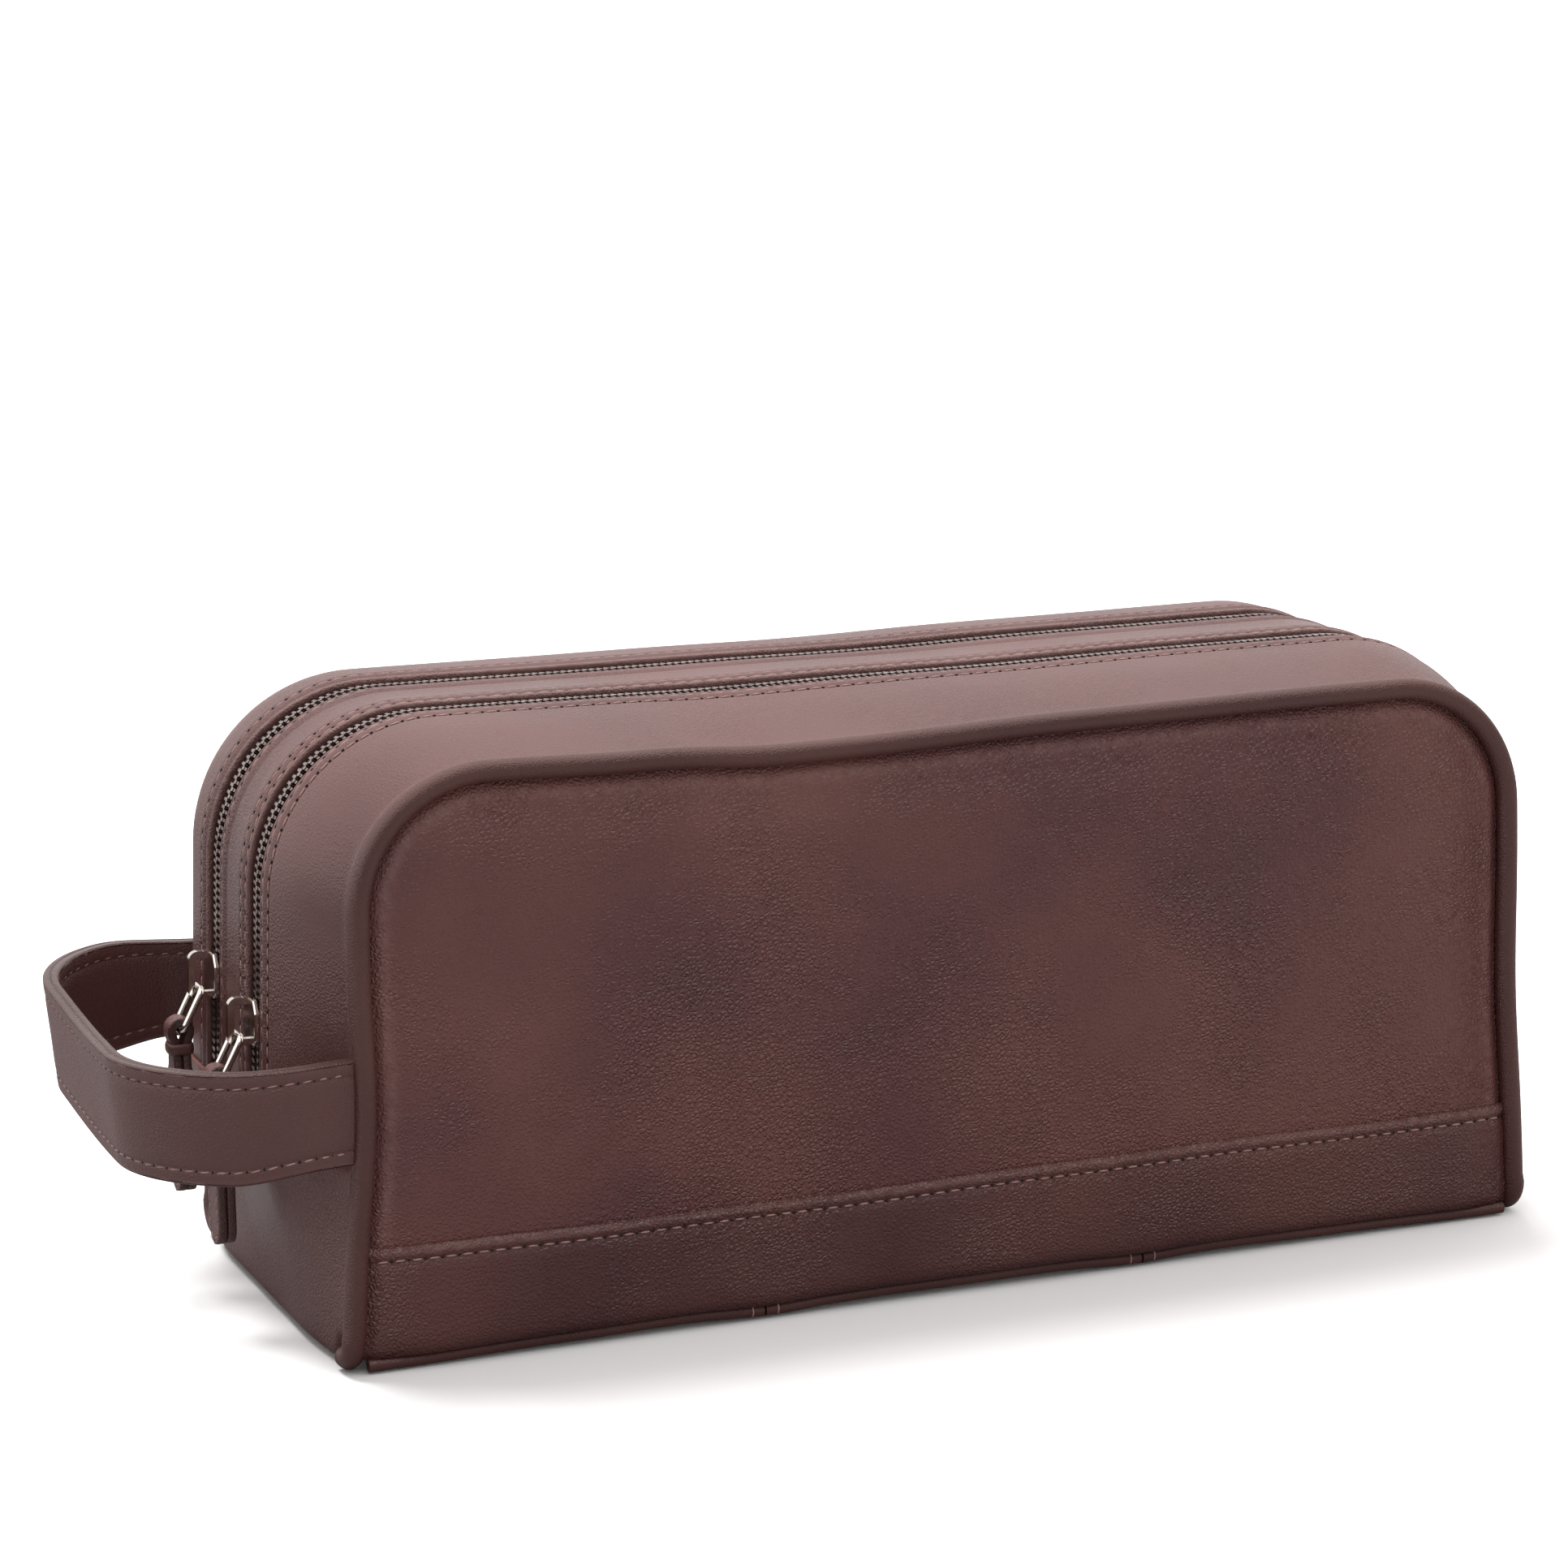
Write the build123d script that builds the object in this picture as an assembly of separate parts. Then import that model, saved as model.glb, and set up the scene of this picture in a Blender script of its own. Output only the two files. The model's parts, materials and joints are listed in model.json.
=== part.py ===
from build123d import *
import math
import os

# Shaving kit bag: a box-shaped leather wash bag with piped edges, two parallel zips that run
# from the left end over the top to the right end, and a side handle on the left end.
# Millimetres. X runs along the length, the front faces -Y, +Z is up and the bag stands on
# z = 0, with the origin in the middle of its base.

# ---- driving dimensions -------------------------------------------------------------------
HALF_LENGTH = 140.0       # at the base, to the outside of the piping
HALF_DEPTH = 57.5         # to the outside of the piping
HEIGHT = 126.4            # to the top of the piping
TOP_HALF_LENGTH = 135.0   # the ends lean in towards the top
CORNER_R = 31.0           # upper corners, outside of the piping

LEATHER = 1.6
PANEL = 1.4
BAND = 1.2
LINING = 0.8
GAP = 0.1                 # between layers that lie on each other

PIPING_R = 2.4
PIPING_CORD_R = 1.3
PIPING_TAIL_BEND = 5.0
PIPING_TAIL_END_Y = 46.0  # the tails turn under the base as far as this
WELT_R, WELT_IN = 1.35, 2.5   # radius, and its centre in from the front

CROWN_END = 8.6           # how far the gusset swells past the piping at the ends
CROWN_TOP = 4.2           # and on top
CROWN_FLAT = 27.0         # half-width of the level middle of the gusset
GUSSET_EDGE_Y = 52.6      # where the gusset meets the piping
GUSSET_EDGE_IN = 1.6      # gusset edge, in from the outside of the piping
END_SEAM_Z = 45.0         # top of the plain end panels
BASE_SEAM_X = 128.0       # where the end panels meet the base
BAND_TOP_Z = 26.5
PANEL_FACE_IN = 2.2       # panel face, in from the outside of the piping
BASE_HALF_Y = 53.6
STIFFENER, STIFFENER_HALF = 1.9, (132.0, 51.0)
LINING_Y, LINING_IN, LINING_FLOOR = (-52.4, -1.2), 5.0, 3.9
DIVIDER_HALF, DIVIDER_IN, DIVIDER_DROP = 0.9, 1.2, 2.8    # drop: below the gusset's face on top

ZIP_Y = 16.0              # the zips lie this far in front of and behind the middle
SLOT_HALF = 5.2
CHAIN_HALF = 2.95
TAPE_HALF = 10.0
TAPE_TOP, TAPE_BOTTOM = 1.7, 2.3       # depths below the gusset's face
CHAIN_TOP, CHAIN_BOTTOM = 0.9, 3.1
TAPE_END_Z = 38.0
CHAIN_END_Z = 49.0
CHAIN_MID_GAP = 0.05      # half the gap between the two rows
CHAIN_NOSE_GAP = 2.2      # the chain starts this far above the slider's lower end
BOTTOM_STOP = (5.6, 2.8)  # width and height
TOP_STOP = (1.5, 2.4)
STOP_EDGE_R = 0.3
FRONT_SLIDER_Z, REAR_SLIDER_Z = 67.0, 70.0

SLIDER_HALF_L, SLIDER_HALF_W = 4.8, 4.6
SLIDER_RISE = 0.7         # top plate, above the gusset's face
SLIDER_PLATE, SLIDER_DEPTH = 1.2, 3.5  # plate thickness, and from one plate's face to the other's
SLIDER_NOSE_HALF_W, SLIDER_NOSE_H = 1.6, 1.8
BAIL_OUT, BAIL_W = 4.7, 1.7
BAIL_HALF_L, BAIL_WALL_OUT, BAIL_WALL_END = 5.2, 0.7, 1.5
BAIL_FOOT = 1.35          # the bail stops this far outside the plate, except at its two feet
WIRE_R = 0.75
RING_LENGTH, RING_HALF_W = 10.0, 3.2   # between wire centres
RING_TILT = 28.0          # the ring hangs out from the bail by this many degrees
TAB_DROP, TAB_HALF_W, TAB_THICK = 36.0, 4.3, 4.0
TAB_LOOP_R = 3.1
TAB_NECK = (6.5, 11.0)    # the neck widens to the tongue between these drops below the ring
TAB_EDGE_R = 1.2
KEEPER_TOP, KEEPER_H, KEEPER_THICK = 2.8, 2.4, 0.8     # top: drop below the ring

STRAP_LAYER = 1.7
STRAP_Z, STRAP_HALF_H = 54.0, 12.0
STRAP_OUT_X, STRAP_HALF_Y, STRAP_BEND_R = 177.3, 56.5, 31.0
STRAP_HINGE_X, STRAP_END_R = 150.0, 11.6

LEAN = (HALF_LENGTH - TOP_HALF_LENGTH) / HEIGHT
LEAN_DEG = math.degrees(math.atan(LEAN))
BIG = 400.0


# ---- helpers ------------------------------------------------------------------------------
def outline(end_out, top_out, bottom=0.0, foot_r=6.0):
    """The bag's side outline, moved out by end_out at the ends and top_out on top."""
    top = HEIGHT + top_out

    def half(z):
        return HALF_LENGTH - LEAN * z + end_out

    points = [(-half(bottom), bottom), (-half(top), top), (half(top), top), (half(bottom), bottom)]
    face = make_face(Polyline(*points, close=True))
    face = fillet(face.vertices().group_by(Axis.Y)[-1], radius=CORNER_R + (end_out + top_out) / 2)
    return fillet(face.vertices().group_by(Axis.Y)[0], radius=foot_r)


def at_y(sketch, y):
    return Plane.XZ.offset(-y) * sketch


def slab(sketch, y0, y1):
    """The outline as a slab between two depths, y0 below y1."""
    return extrude(at_y(sketch, y1), amount=y1 - y0)


def block(x0, x1, y0, y1, z0, z1):
    return Pos((x0 + x1) / 2, (y0 + y1) / 2, (z0 + z1) / 2) * Box(x1 - x0, y1 - y0, z1 - z0)


def crown(inset, bottom=0.0):
    """Outline of the gusset's level middle, inset by so much."""
    return outline(CROWN_END - inset, CROWN_TOP - inset, bottom, 12.0 - inset)


def gusset_edge(inset, bottom=0.0):
    """Outline of the gusset's edge along the piping, inset by so much."""
    return outline(-GUSSET_EDGE_IN - inset, -GUSSET_EDGE_IN - inset, bottom, 6.0 - inset)


def gusset_body(inset, bottom=0.0):
    """Everything inside the crowned gusset surface, inset by so much."""
    body = slab(crown(inset, bottom), -CROWN_FLAT, CROWN_FLAT)
    for side in (-1, 1):
        sections = [at_y(crown(inset, bottom), side * CROWN_FLAT),
                    at_y(gusset_edge(inset, bottom), side * GUSSET_EDGE_Y)]
        body += loft(sections, ruled=True)
    return body


def rear(part):
    """The same piece on the other side of the bag."""
    return mirror(part, about=Plane.XZ)


def save(name, *solids):
    shape = solids[0] if len(solids) == 1 else Compound(children=list(solids))
    shape.label = name
    export_step(shape, f"parts/{name}.step")


# ---- leather shell ------------------------------------------------------------------------
def gusset_pieces():
    shell = gusset_body(0.0) - gusset_body(LEATHER, LEATHER)
    above = END_SEAM_Z + GAP / 2
    slot_in, slot_out = ZIP_Y - SLOT_HALF, ZIP_Y + SLOT_HALF
    front = shell & block(-BIG, BIG, -GUSSET_EDGE_Y, -slot_out, above, BIG)
    centre = shell & block(-BIG, BIG, -slot_in, slot_in, above, BIG)
    tail_top = PIPING_TAIL_BEND + PIPING_R + GAP
    tail_in = HALF_LENGTH - 2 * PIPING_R - 3 * GAP
    tail_room = block(tail_in, BIG, PIPING_TAIL_END_Y - PIPING_R, BIG, -1, tail_top)
    right = shell & block(BASE_SEAM_X, BIG, -BIG, BIG, -1, END_SEAM_Z - GAP / 2)
    right = right - tail_room - rear(tail_room)
    return front, centre, right


def base_panel():
    half_x = BASE_SEAM_X - GAP
    return block(-half_x, half_x, -BASE_HALF_Y, BASE_HALF_Y, 0, LEATHER)


def base_stiffener():
    half_x, half_y = STIFFENER_HALF
    bottom = LEATHER + GAP
    return block(-half_x, half_x, -half_y, half_y, bottom, bottom + STIFFENER)


def front_face():
    """Front panel and the base band sewn over its foot."""
    inset = 2 * PIPING_R + GAP / 2
    foot = 2 * WELT_R + 2 * GAP
    face_y = -HALF_DEPTH + PANEL_FACE_IN
    sheet = outline(-inset, -inset, foot, 3.0)
    panel = slab(sheet, face_y, face_y + PANEL)
    band = slab(sheet, face_y - BAND, face_y) & block(-BIG, BIG, -BIG, BIG, 0, BAND_TOP_Z)
    return panel, band


def front_piping():
    """Leather cover and the cord inside it, along both sides and the top of the front."""
    y = -HALF_DEPTH + PIPING_R
    foot, top = HALF_LENGTH - PIPING_R, HEIGHT - PIPING_R
    upper = foot - LEAN * top
    path = FilletPolyline(
        (-foot, -PIPING_TAIL_END_Y, PIPING_R), (-foot, y, PIPING_R), (-upper, y, top),
        (upper, y, top), (foot, y, PIPING_R), (foot, -PIPING_TAIL_END_Y, PIPING_R),
        radius=[PIPING_TAIL_BEND, CORNER_R - PIPING_R, CORNER_R - PIPING_R, PIPING_TAIL_BEND])
    start = Plane(origin=path @ 0, z_dir=path % 0)
    cover = sweep(start * (Circle(PIPING_R) - Circle(PIPING_CORD_R)), path=path)
    cord = sweep(start * Circle(PIPING_CORD_R), path=path)
    return cover, cord


def front_bottom_welt():
    half = HALF_LENGTH - 2 * PIPING_R - 6 * GAP
    at = Pos(0, -HALF_DEPTH + WELT_IN, WELT_R) * Rot(0, 90, 0)
    return at * Cylinder(WELT_R, 2 * half)


# ---- inside -------------------------------------------------------------------------------
def front_lining():
    """Cloth pouch with a slot along the zip."""
    y0, y1 = LINING_Y
    inset, inner = LINING_IN, LINING_IN + LINING
    pouch = slab(outline(-inset, -inset, LINING_FLOOR, 4.0), y0, y1)
    hollow = slab(outline(-inner, -inner, LINING_FLOOR + LINING, 4.0 - LINING), y0 + LINING, y1 - LINING)
    slot_half = SLOT_HALF + 3 * GAP
    slot = block(-BIG, BIG, -ZIP_Y - slot_half, -ZIP_Y + slot_half, CHAIN_END_Z, BIG)
    return pouch - hollow - slot


def centre_divider():
    foot = LEATHER + STIFFENER + 2 * GAP
    return slab(outline(-DIVIDER_IN, CROWN_TOP - DIVIDER_DROP, foot, 10.5), -DIVIDER_HALF, DIVIDER_HALF)


# ---- zips ---------------------------------------------------------------------------------
def zip_band(depth_0, depth_1, y0, y1):
    """A strip that follows the gusset between two depths below its face."""
    return slab(crown(depth_0), y0, y1) - slab(crown(depth_1), y0 - 1, y1 + 1)


def front_zip_tapes():
    """Two cloth strips, one on each side of the chain."""
    keep = block(-BIG, BIG, -BIG, BIG, TAPE_END_Z, BIG)
    inner = CHAIN_HALF + CHAIN_MID_GAP
    spans = ((-ZIP_Y - TAPE_HALF, -ZIP_Y - inner), (-ZIP_Y + inner, -ZIP_Y + TAPE_HALF))
    return [zip_band(TAPE_TOP, TAPE_BOTTOM, y0, y1) & keep for y0, y1 in spans]


def front_zip_chain(slider_z):
    """Both toothed rows, from just above the slider's nose to the stop on the right end."""
    start = slider_z - SLIDER_HALF_L + CHAIN_NOSE_GAP
    keep = block(-BIG, 0, -BIG, BIG, start, BIG) + block(0, BIG, -BIG, BIG, CHAIN_END_Z, BIG)
    rows = []
    for y0, y1 in ((-CHAIN_HALF, -CHAIN_MID_GAP), (CHAIN_MID_GAP, CHAIN_HALF)):
        rows.append(zip_band(CHAIN_TOP, CHAIN_BOTTOM, -ZIP_Y + y0, -ZIP_Y + y1) & keep)
    return rows


def end_place(z, side=-1):
    """A place on the gusset's face at an end: local -X points out, local Z runs up the end."""
    x = HALF_LENGTH + CROWN_END - LEAN * z
    if side < 0:
        return Pos(-x, 0, z) * Rot(0, LEAN_DEG, 0)
    return Pos(x, 0, z) * Rot(0, -LEAN_DEG, 180)


def zip_bottom_stops():
    stop = fillet(Box(CHAIN_BOTTOM - CHAIN_TOP, *BOTTOM_STOP).edges(), STOP_EDGE_R)
    depth = (CHAIN_TOP + CHAIN_BOTTOM) / 2
    return [end_place(CHAIN_END_Z - 1.6, 1) * Pos(depth, y, 0) * stop for y in (-ZIP_Y, ZIP_Y)]


def zip_top_stops():
    stop = fillet(Box(CHAIN_BOTTOM - CHAIN_TOP - 2 * GAP, *TOP_STOP).edges(), STOP_EDGE_R)
    depth = (CHAIN_TOP + CHAIN_BOTTOM) / 2
    places = [zip_y + side * 2.1 for zip_y in (-ZIP_Y, ZIP_Y) for side in (-1, 1)]
    return [end_place(END_SEAM_Z + 1.6) * Pos(depth, y, 0) * stop for y in places]


def slider_body():
    """Two plates joined by the nose at the lower end; the chain runs between them."""
    half_l, half_w = SLIDER_HALF_L, SLIDER_HALF_W
    plan = Polygon((-half_w, half_l - 2.5), (-half_w + 1.8, half_l), (half_w - 1.8, half_l),
                   (half_w, half_l - 2.5), (half_w, -half_l + 1.2), (half_w - 1.4, -half_l),
                   (-half_w + 1.4, -half_l), (-half_w, -half_l + 1.2), align=None)
    plate = extrude(Plane.YZ * plan, amount=SLIDER_PLATE, dir=(1, 0, 0))
    plate = fillet(plate.edges(), 0.35)
    nose_z = -half_l + STOP_EDGE_R
    nose = block(0, SLIDER_DEPTH + STOP_EDGE_R, -SLIDER_NOSE_HALF_W, SLIDER_NOSE_HALF_W,
                 nose_z, nose_z + SLIDER_NOSE_H)
    return Pos(-SLIDER_RISE, 0, 0) * plate + Pos(SLIDER_DEPTH, 0, 0) * plate + nose


def slider_bail():
    """D-shaped bridge that stands out from the slider, in the slider's local axes."""
    at, wall = -SLIDER_RISE, BAIL_WALL_OUT
    length, bay = 2 * BAIL_HALF_L, 2 * (BAIL_HALF_L - BAIL_WALL_END)
    outer = Pos(at - BAIL_OUT / 2, 0) * RectangleRounded(BAIL_OUT, length, 1.9)
    inner = Pos(at - BAIL_OUT / 2 + wall, 0) * RectangleRounded(BAIL_OUT - 2 * wall, bay, 1.2)
    foot = Pos(at - wall, 0) * (Rectangle(2 * wall, length) - Rectangle(2 * wall, bay))
    bridge = extrude(Plane.XZ * (outer - inner + foot), amount=BAIL_W / 2, both=True)
    return bridge - block(at - BAIL_FOOT, at + 1, -BAIL_HALF_L, BAIL_HALF_L, -bay / 2, bay / 2)


def ring_pivot(slider_z):
    """Centre of the ring's upper wire, where it hangs in the bail."""
    return end_place(slider_z) * Pos(-SLIDER_RISE - 2.4, 0, -2.85)


def pull_ring(slider_z):
    """Rounded wire link through the bail, tilted out."""
    top = Vector(*ring_pivot(slider_z).position)
    half_w, length = RING_HALF_W, RING_LENGTH
    loop = (Plane.YZ * Pos(0, -length / 2) * RectangleRounded(2 * half_w, length, 1.6)).wire()
    start = Plane(origin=loop @ 0, z_dir=loop % 0)
    link = sweep(start * Circle(WIRE_R), path=loop)
    return Pos(top.X, -ZIP_Y, top.Z) * Rot(0, RING_TILT, 0) * link


def tab_pivot(slider_z):
    """Centre of the ring's lower wire, where the tab's loop hangs."""
    top = Vector(*ring_pivot(slider_z).position)
    tilt = math.radians(RING_TILT)
    return top.X - RING_LENGTH * math.sin(tilt), top.Z - RING_LENGTH * math.cos(tilt)


def pull_tab(slider_z):
    """Leather tab: a loop round the ring, a narrow neck and a rounded tongue."""
    x, z = tab_pivot(slider_z)
    neck_half = RING_HALF_W - WIRE_R - 0.35
    neck_end, tongue_top = TAB_NECK
    plan = Polygon((-neck_half, 0), (neck_half, 0), (neck_half, -neck_end), (TAB_HALF_W, -tongue_top),
                   (TAB_HALF_W, -TAB_DROP), (-TAB_HALF_W, -TAB_DROP), (-TAB_HALF_W, -tongue_top),
                   (-neck_half, -neck_end), align=None)
    plan = fillet(plan.vertices().group_by(Axis.Y)[0], radius=TAB_HALF_W - GAP)
    tab = extrude(Plane.YZ * plan, amount=TAB_THICK / 2, both=True)
    split = -tongue_top - 1
    tongue = tab & block(-BIG, BIG, -BIG, BIG, -BIG, split)
    neck = tab & block(-BIG, BIG, -BIG, BIG, split, BIG)
    sides = tongue.faces().sort_by(Axis.X)
    tongue = fillet(sides[0].edges() + sides[-1].edges(), TAB_EDGE_R)
    loop = Rot(90, 0, 0) * Cylinder(TAB_LOOP_R, 2 * neck_half)
    bore = Rot(90, 0, 0) * Cylinder(WIRE_R + 0.08, BIG)
    return Pos(x, -ZIP_Y, z) * (tongue + neck + loop - bore)


def pull_keeper(slider_z):
    """Narrow leather band round the tab's neck."""
    x, z = tab_pivot(slider_z)
    width, thick = 2 * (RING_HALF_W - WIRE_R - 0.3), TAB_THICK + GAP
    ring = Rectangle(thick + 2 * KEEPER_THICK, width + 2 * KEEPER_THICK) - Rectangle(thick, width)
    return Pos(x, -ZIP_Y, z - KEEPER_TOP - KEEPER_H) * extrude(ring, amount=KEEPER_H)


def pull_pieces(slider_z):
    """The slider and all that hangs from it, on the front zip."""
    place = Pos(0, -ZIP_Y, 0) * end_place(slider_z)
    return {
        "slider": place * slider_body(),
        "slider_bail": place * slider_bail(),
        "pull_ring": pull_ring(slider_z),
        "pull_tab": pull_tab(slider_z),
        "pull_keeper": pull_keeper(slider_z),
    }


# ---- handle -------------------------------------------------------------------------------
def strap_plan(offset):
    """Plan of everything inside the strap's middle surface, moved out by offset."""
    half_y, out_x = STRAP_HALF_Y + offset, STRAP_OUT_X + offset
    plan = Pos(-out_x / 2, 0) * Rectangle(out_x, 2 * half_y)
    corners = plan.vertices().group_by(Axis.X)[0]
    return fillet(corners, radius=STRAP_BEND_R + offset)


def strap_layer(offset_0, offset_1, half_h):
    ring = strap_plan(offset_1) - strap_plan(offset_0)
    return Pos(0, 0, STRAP_Z - half_h) * extrude(ring, amount=2 * half_h)


def handle_pieces():
    """Two leather layers of the loop, and the sewn-on end it flexes from."""
    end_round = Pos(-STRAP_HINGE_X, 0, STRAP_Z) * Rot(90, 0, 0) * Cylinder(STRAP_END_R + 0.5, BIG)
    beyond = block(-BIG, -STRAP_HINGE_X, -BIG, BIG, 0, BIG)
    outer = (strap_layer(0.02, STRAP_LAYER, STRAP_HALF_H) & beyond) - end_round
    inner = (strap_layer(-STRAP_LAYER, -0.02, STRAP_HALF_H) & beyond) - end_round
    whole = strap_layer(-STRAP_LAYER, STRAP_LAYER, STRAP_END_R)
    piping_x = HALF_LENGTH - LEAN * (STRAP_Z - STRAP_END_R)
    stub = whole & block(-STRAP_HINGE_X, -piping_x - GAP, -BIG, 0, 0, BIG)
    tip = whole & block(-BIG, -STRAP_HINGE_X, -BIG, 0, 0, BIG)
    tip = tip & (Pos(-STRAP_HINGE_X, 0, STRAP_Z) * Rot(90, 0, 0) * Cylinder(STRAP_END_R, BIG))
    return outer, inner, stub + tip


# ---- write every piece --------------------------------------------------------------------
def save_pair(front_name, rear_name, *solids):
    save(front_name, *solids)
    save(rear_name, *[rear(solid) for solid in solids])


def main():
    os.makedirs("parts", exist_ok=True)
    strip, centre, right_end = gusset_pieces()
    save_pair("front_gusset_strip", "back_gusset_strip", strip)
    save("centre_gusset_strip", centre)
    save("right_end_panel", right_end)
    save("left_end_panel", mirror(right_end, about=Plane.YZ))
    save("base_panel", base_panel())
    save("base_stiffener", base_stiffener())
    panel, band = front_face()
    save_pair("front_panel", "back_panel", panel)
    save_pair("front_base_band", "back_base_band", band)
    cover, cord = front_piping()
    save_pair("front_piping_cover", "back_piping_cover", cover)
    save_pair("front_piping_cord", "back_piping_cord", cord)
    save_pair("front_bottom_welt", "back_bottom_welt", front_bottom_welt())
    save_pair("front_lining", "rear_lining", front_lining())
    save("centre_divider", centre_divider())
    save_pair("front_zip_tapes", "rear_zip_tapes", *front_zip_tapes())
    save("front_zip_chain", *front_zip_chain(FRONT_SLIDER_Z))
    save("rear_zip_chain", *[rear(row) for row in front_zip_chain(REAR_SLIDER_Z)])
    save("zip_bottom_stops", *zip_bottom_stops())
    save("zip_top_stops", *zip_top_stops())
    for piece, solid in pull_pieces(FRONT_SLIDER_Z).items():
        save(f"front_{piece}", solid)
    for piece, solid in pull_pieces(REAR_SLIDER_Z).items():
        save(f"rear_{piece}", rear(solid))
    outer, inner, end = handle_pieces()
    save("handle_outer_strap", outer)
    save("handle_inner_strap", inner)
    save_pair("handle_front_end", "handle_rear_end", end)
    for name, z in (("front", FRONT_SLIDER_Z), ("rear", REAR_SLIDER_Z)):
        pivot = ring_pivot(z).position
        print(name, "ring pivot", round(pivot.X, 3), round(pivot.Z, 3), "tab pivot", tab_pivot(z))


main()
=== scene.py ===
"""Shaving kit bag: the looks of a piped leather wash bag with two zips and a side handle.

Lengths inside the classes are in millimetres and become metres when a mesh is made. Every place comes
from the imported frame: X runs along the bag, the front faces -Y and the bag stands on z = 0.
"""

import json
import logging
import math
from dataclasses import dataclass, field
from enum import Enum

import bmesh
import bpy
import numpy as np
from mathutils import Matrix, Vector


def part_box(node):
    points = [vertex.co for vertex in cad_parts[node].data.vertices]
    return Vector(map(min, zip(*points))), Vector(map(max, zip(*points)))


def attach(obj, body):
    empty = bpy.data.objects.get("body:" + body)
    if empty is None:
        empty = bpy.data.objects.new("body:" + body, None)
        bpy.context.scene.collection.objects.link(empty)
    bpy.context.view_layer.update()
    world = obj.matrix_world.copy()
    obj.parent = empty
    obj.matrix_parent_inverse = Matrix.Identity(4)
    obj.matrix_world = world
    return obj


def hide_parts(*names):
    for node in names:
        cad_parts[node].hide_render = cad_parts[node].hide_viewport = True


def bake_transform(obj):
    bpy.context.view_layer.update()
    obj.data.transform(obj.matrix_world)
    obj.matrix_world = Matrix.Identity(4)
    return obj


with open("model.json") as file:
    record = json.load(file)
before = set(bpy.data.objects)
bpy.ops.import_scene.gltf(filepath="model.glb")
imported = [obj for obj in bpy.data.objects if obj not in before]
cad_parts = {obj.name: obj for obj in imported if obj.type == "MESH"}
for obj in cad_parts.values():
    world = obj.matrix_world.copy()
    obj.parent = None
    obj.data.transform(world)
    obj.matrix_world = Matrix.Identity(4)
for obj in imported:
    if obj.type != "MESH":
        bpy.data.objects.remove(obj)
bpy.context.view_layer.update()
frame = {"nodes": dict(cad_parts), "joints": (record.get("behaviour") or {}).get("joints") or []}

logging.basicConfig(level=logging.INFO, format="%(message)s")
log = logging.getLogger("shaving_kit_bag")

MM = 0.001
Array = np.ndarray
Socket = bpy.types.NodeSocket


class Side(Enum):
    """The two faces of the bag, valued by the sign of Y."""

    FRONT = -1
    BACK = 1


class Unit(Enum):
    """What is laid down again and again along a line."""

    THREAD = "thread"
    # A dark speck laid beside stitches: painted shade standing in for a needle puncture.
    HOLE = "hole"
    TOOTH = "tooth"


# ---- small helpers
def node_box(name: str) -> tuple[Array, Array]:
    """Lowest and highest corners of a CAD node, in millimetres."""
    low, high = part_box(name)
    return np.array(low) / MM, np.array(high) / MM


def joint_place(name: str) -> Array:
    """Where a joint turns, in millimetres."""
    joint = next(j for j in frame["joints"] if j["name"] == name)
    return np.array(joint["pos_m"]) / MM


def ease(t: Array) -> Array:
    """Smooth step from 0 to 1, clipped outside."""
    t = np.clip(t, 0.0, 1.0)
    return t * t * (3 - 2 * t)


def bump(t: Array) -> Array:
    """Bell curve with its top of 1 at t = 0."""
    return np.exp(-np.square(t))


def piece_object(name: str, mesh: bpy.types.Mesh) -> bpy.types.Object:
    """Links a mesh into the scene as a new object at the origin."""
    obj = bpy.data.objects.new(name, mesh)
    bpy.context.scene.collection.objects.link(obj)
    return obj


def close_and_smooth(mesh: bpy.types.Mesh) -> None:
    """Points all faces outwards and shades them smooth."""
    work = bmesh.new()
    work.from_mesh(mesh)
    bmesh.ops.remove_doubles(work, verts=work.verts, dist=1e-7)
    bmesh.ops.recalc_face_normals(work, faces=work.faces)
    work.to_mesh(mesh)
    work.free()
    mesh.polygons.foreach_set("use_smooth", np.ones(len(mesh.polygons), bool))


def mesh_piece(name: str, points: Array, faces: list, material: bpy.types.Material,
               **values: Array) -> bpy.types.Object:
    """Makes a piece from points, faces and values that vary over it.

    Args:
        name: The piece's name.
        points: Its vertices in millimetres, as (n, 3).
        faces: Vertex indices of each face.
        material: What it is finished in.
        values: Named point attributes, each with n numbers or n vectors.

    Returns:
        The new object.
    """
    mesh = bpy.data.meshes.new(name)
    mesh.from_pydata((points * MM).tolist(), [], faces)
    for key, value in values.items():
        kind, slot = ("FLOAT_VECTOR", "vector") if value.ndim == 2 else ("FLOAT", "value")
        mesh.attributes.new(key, kind, "POINT").data.foreach_set(slot, value.astype(np.float32).ravel())
    mesh.materials.append(material)
    close_and_smooth(mesh)
    return piece_object(name, mesh)


def grid_faces(rows: int, cols: int, start: int = 0, wrap: bool = False) -> list:
    """Quads of a grid whose vertices are numbered row by row from start."""
    last = cols if wrap else cols - 1
    return [(start + r * cols + c, start + r * cols + (c + 1) % cols,
             start + (r + 1) * cols + (c + 1) % cols, start + (r + 1) * cols + c)
            for r in range(rows - 1) for c in range(last)]


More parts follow.
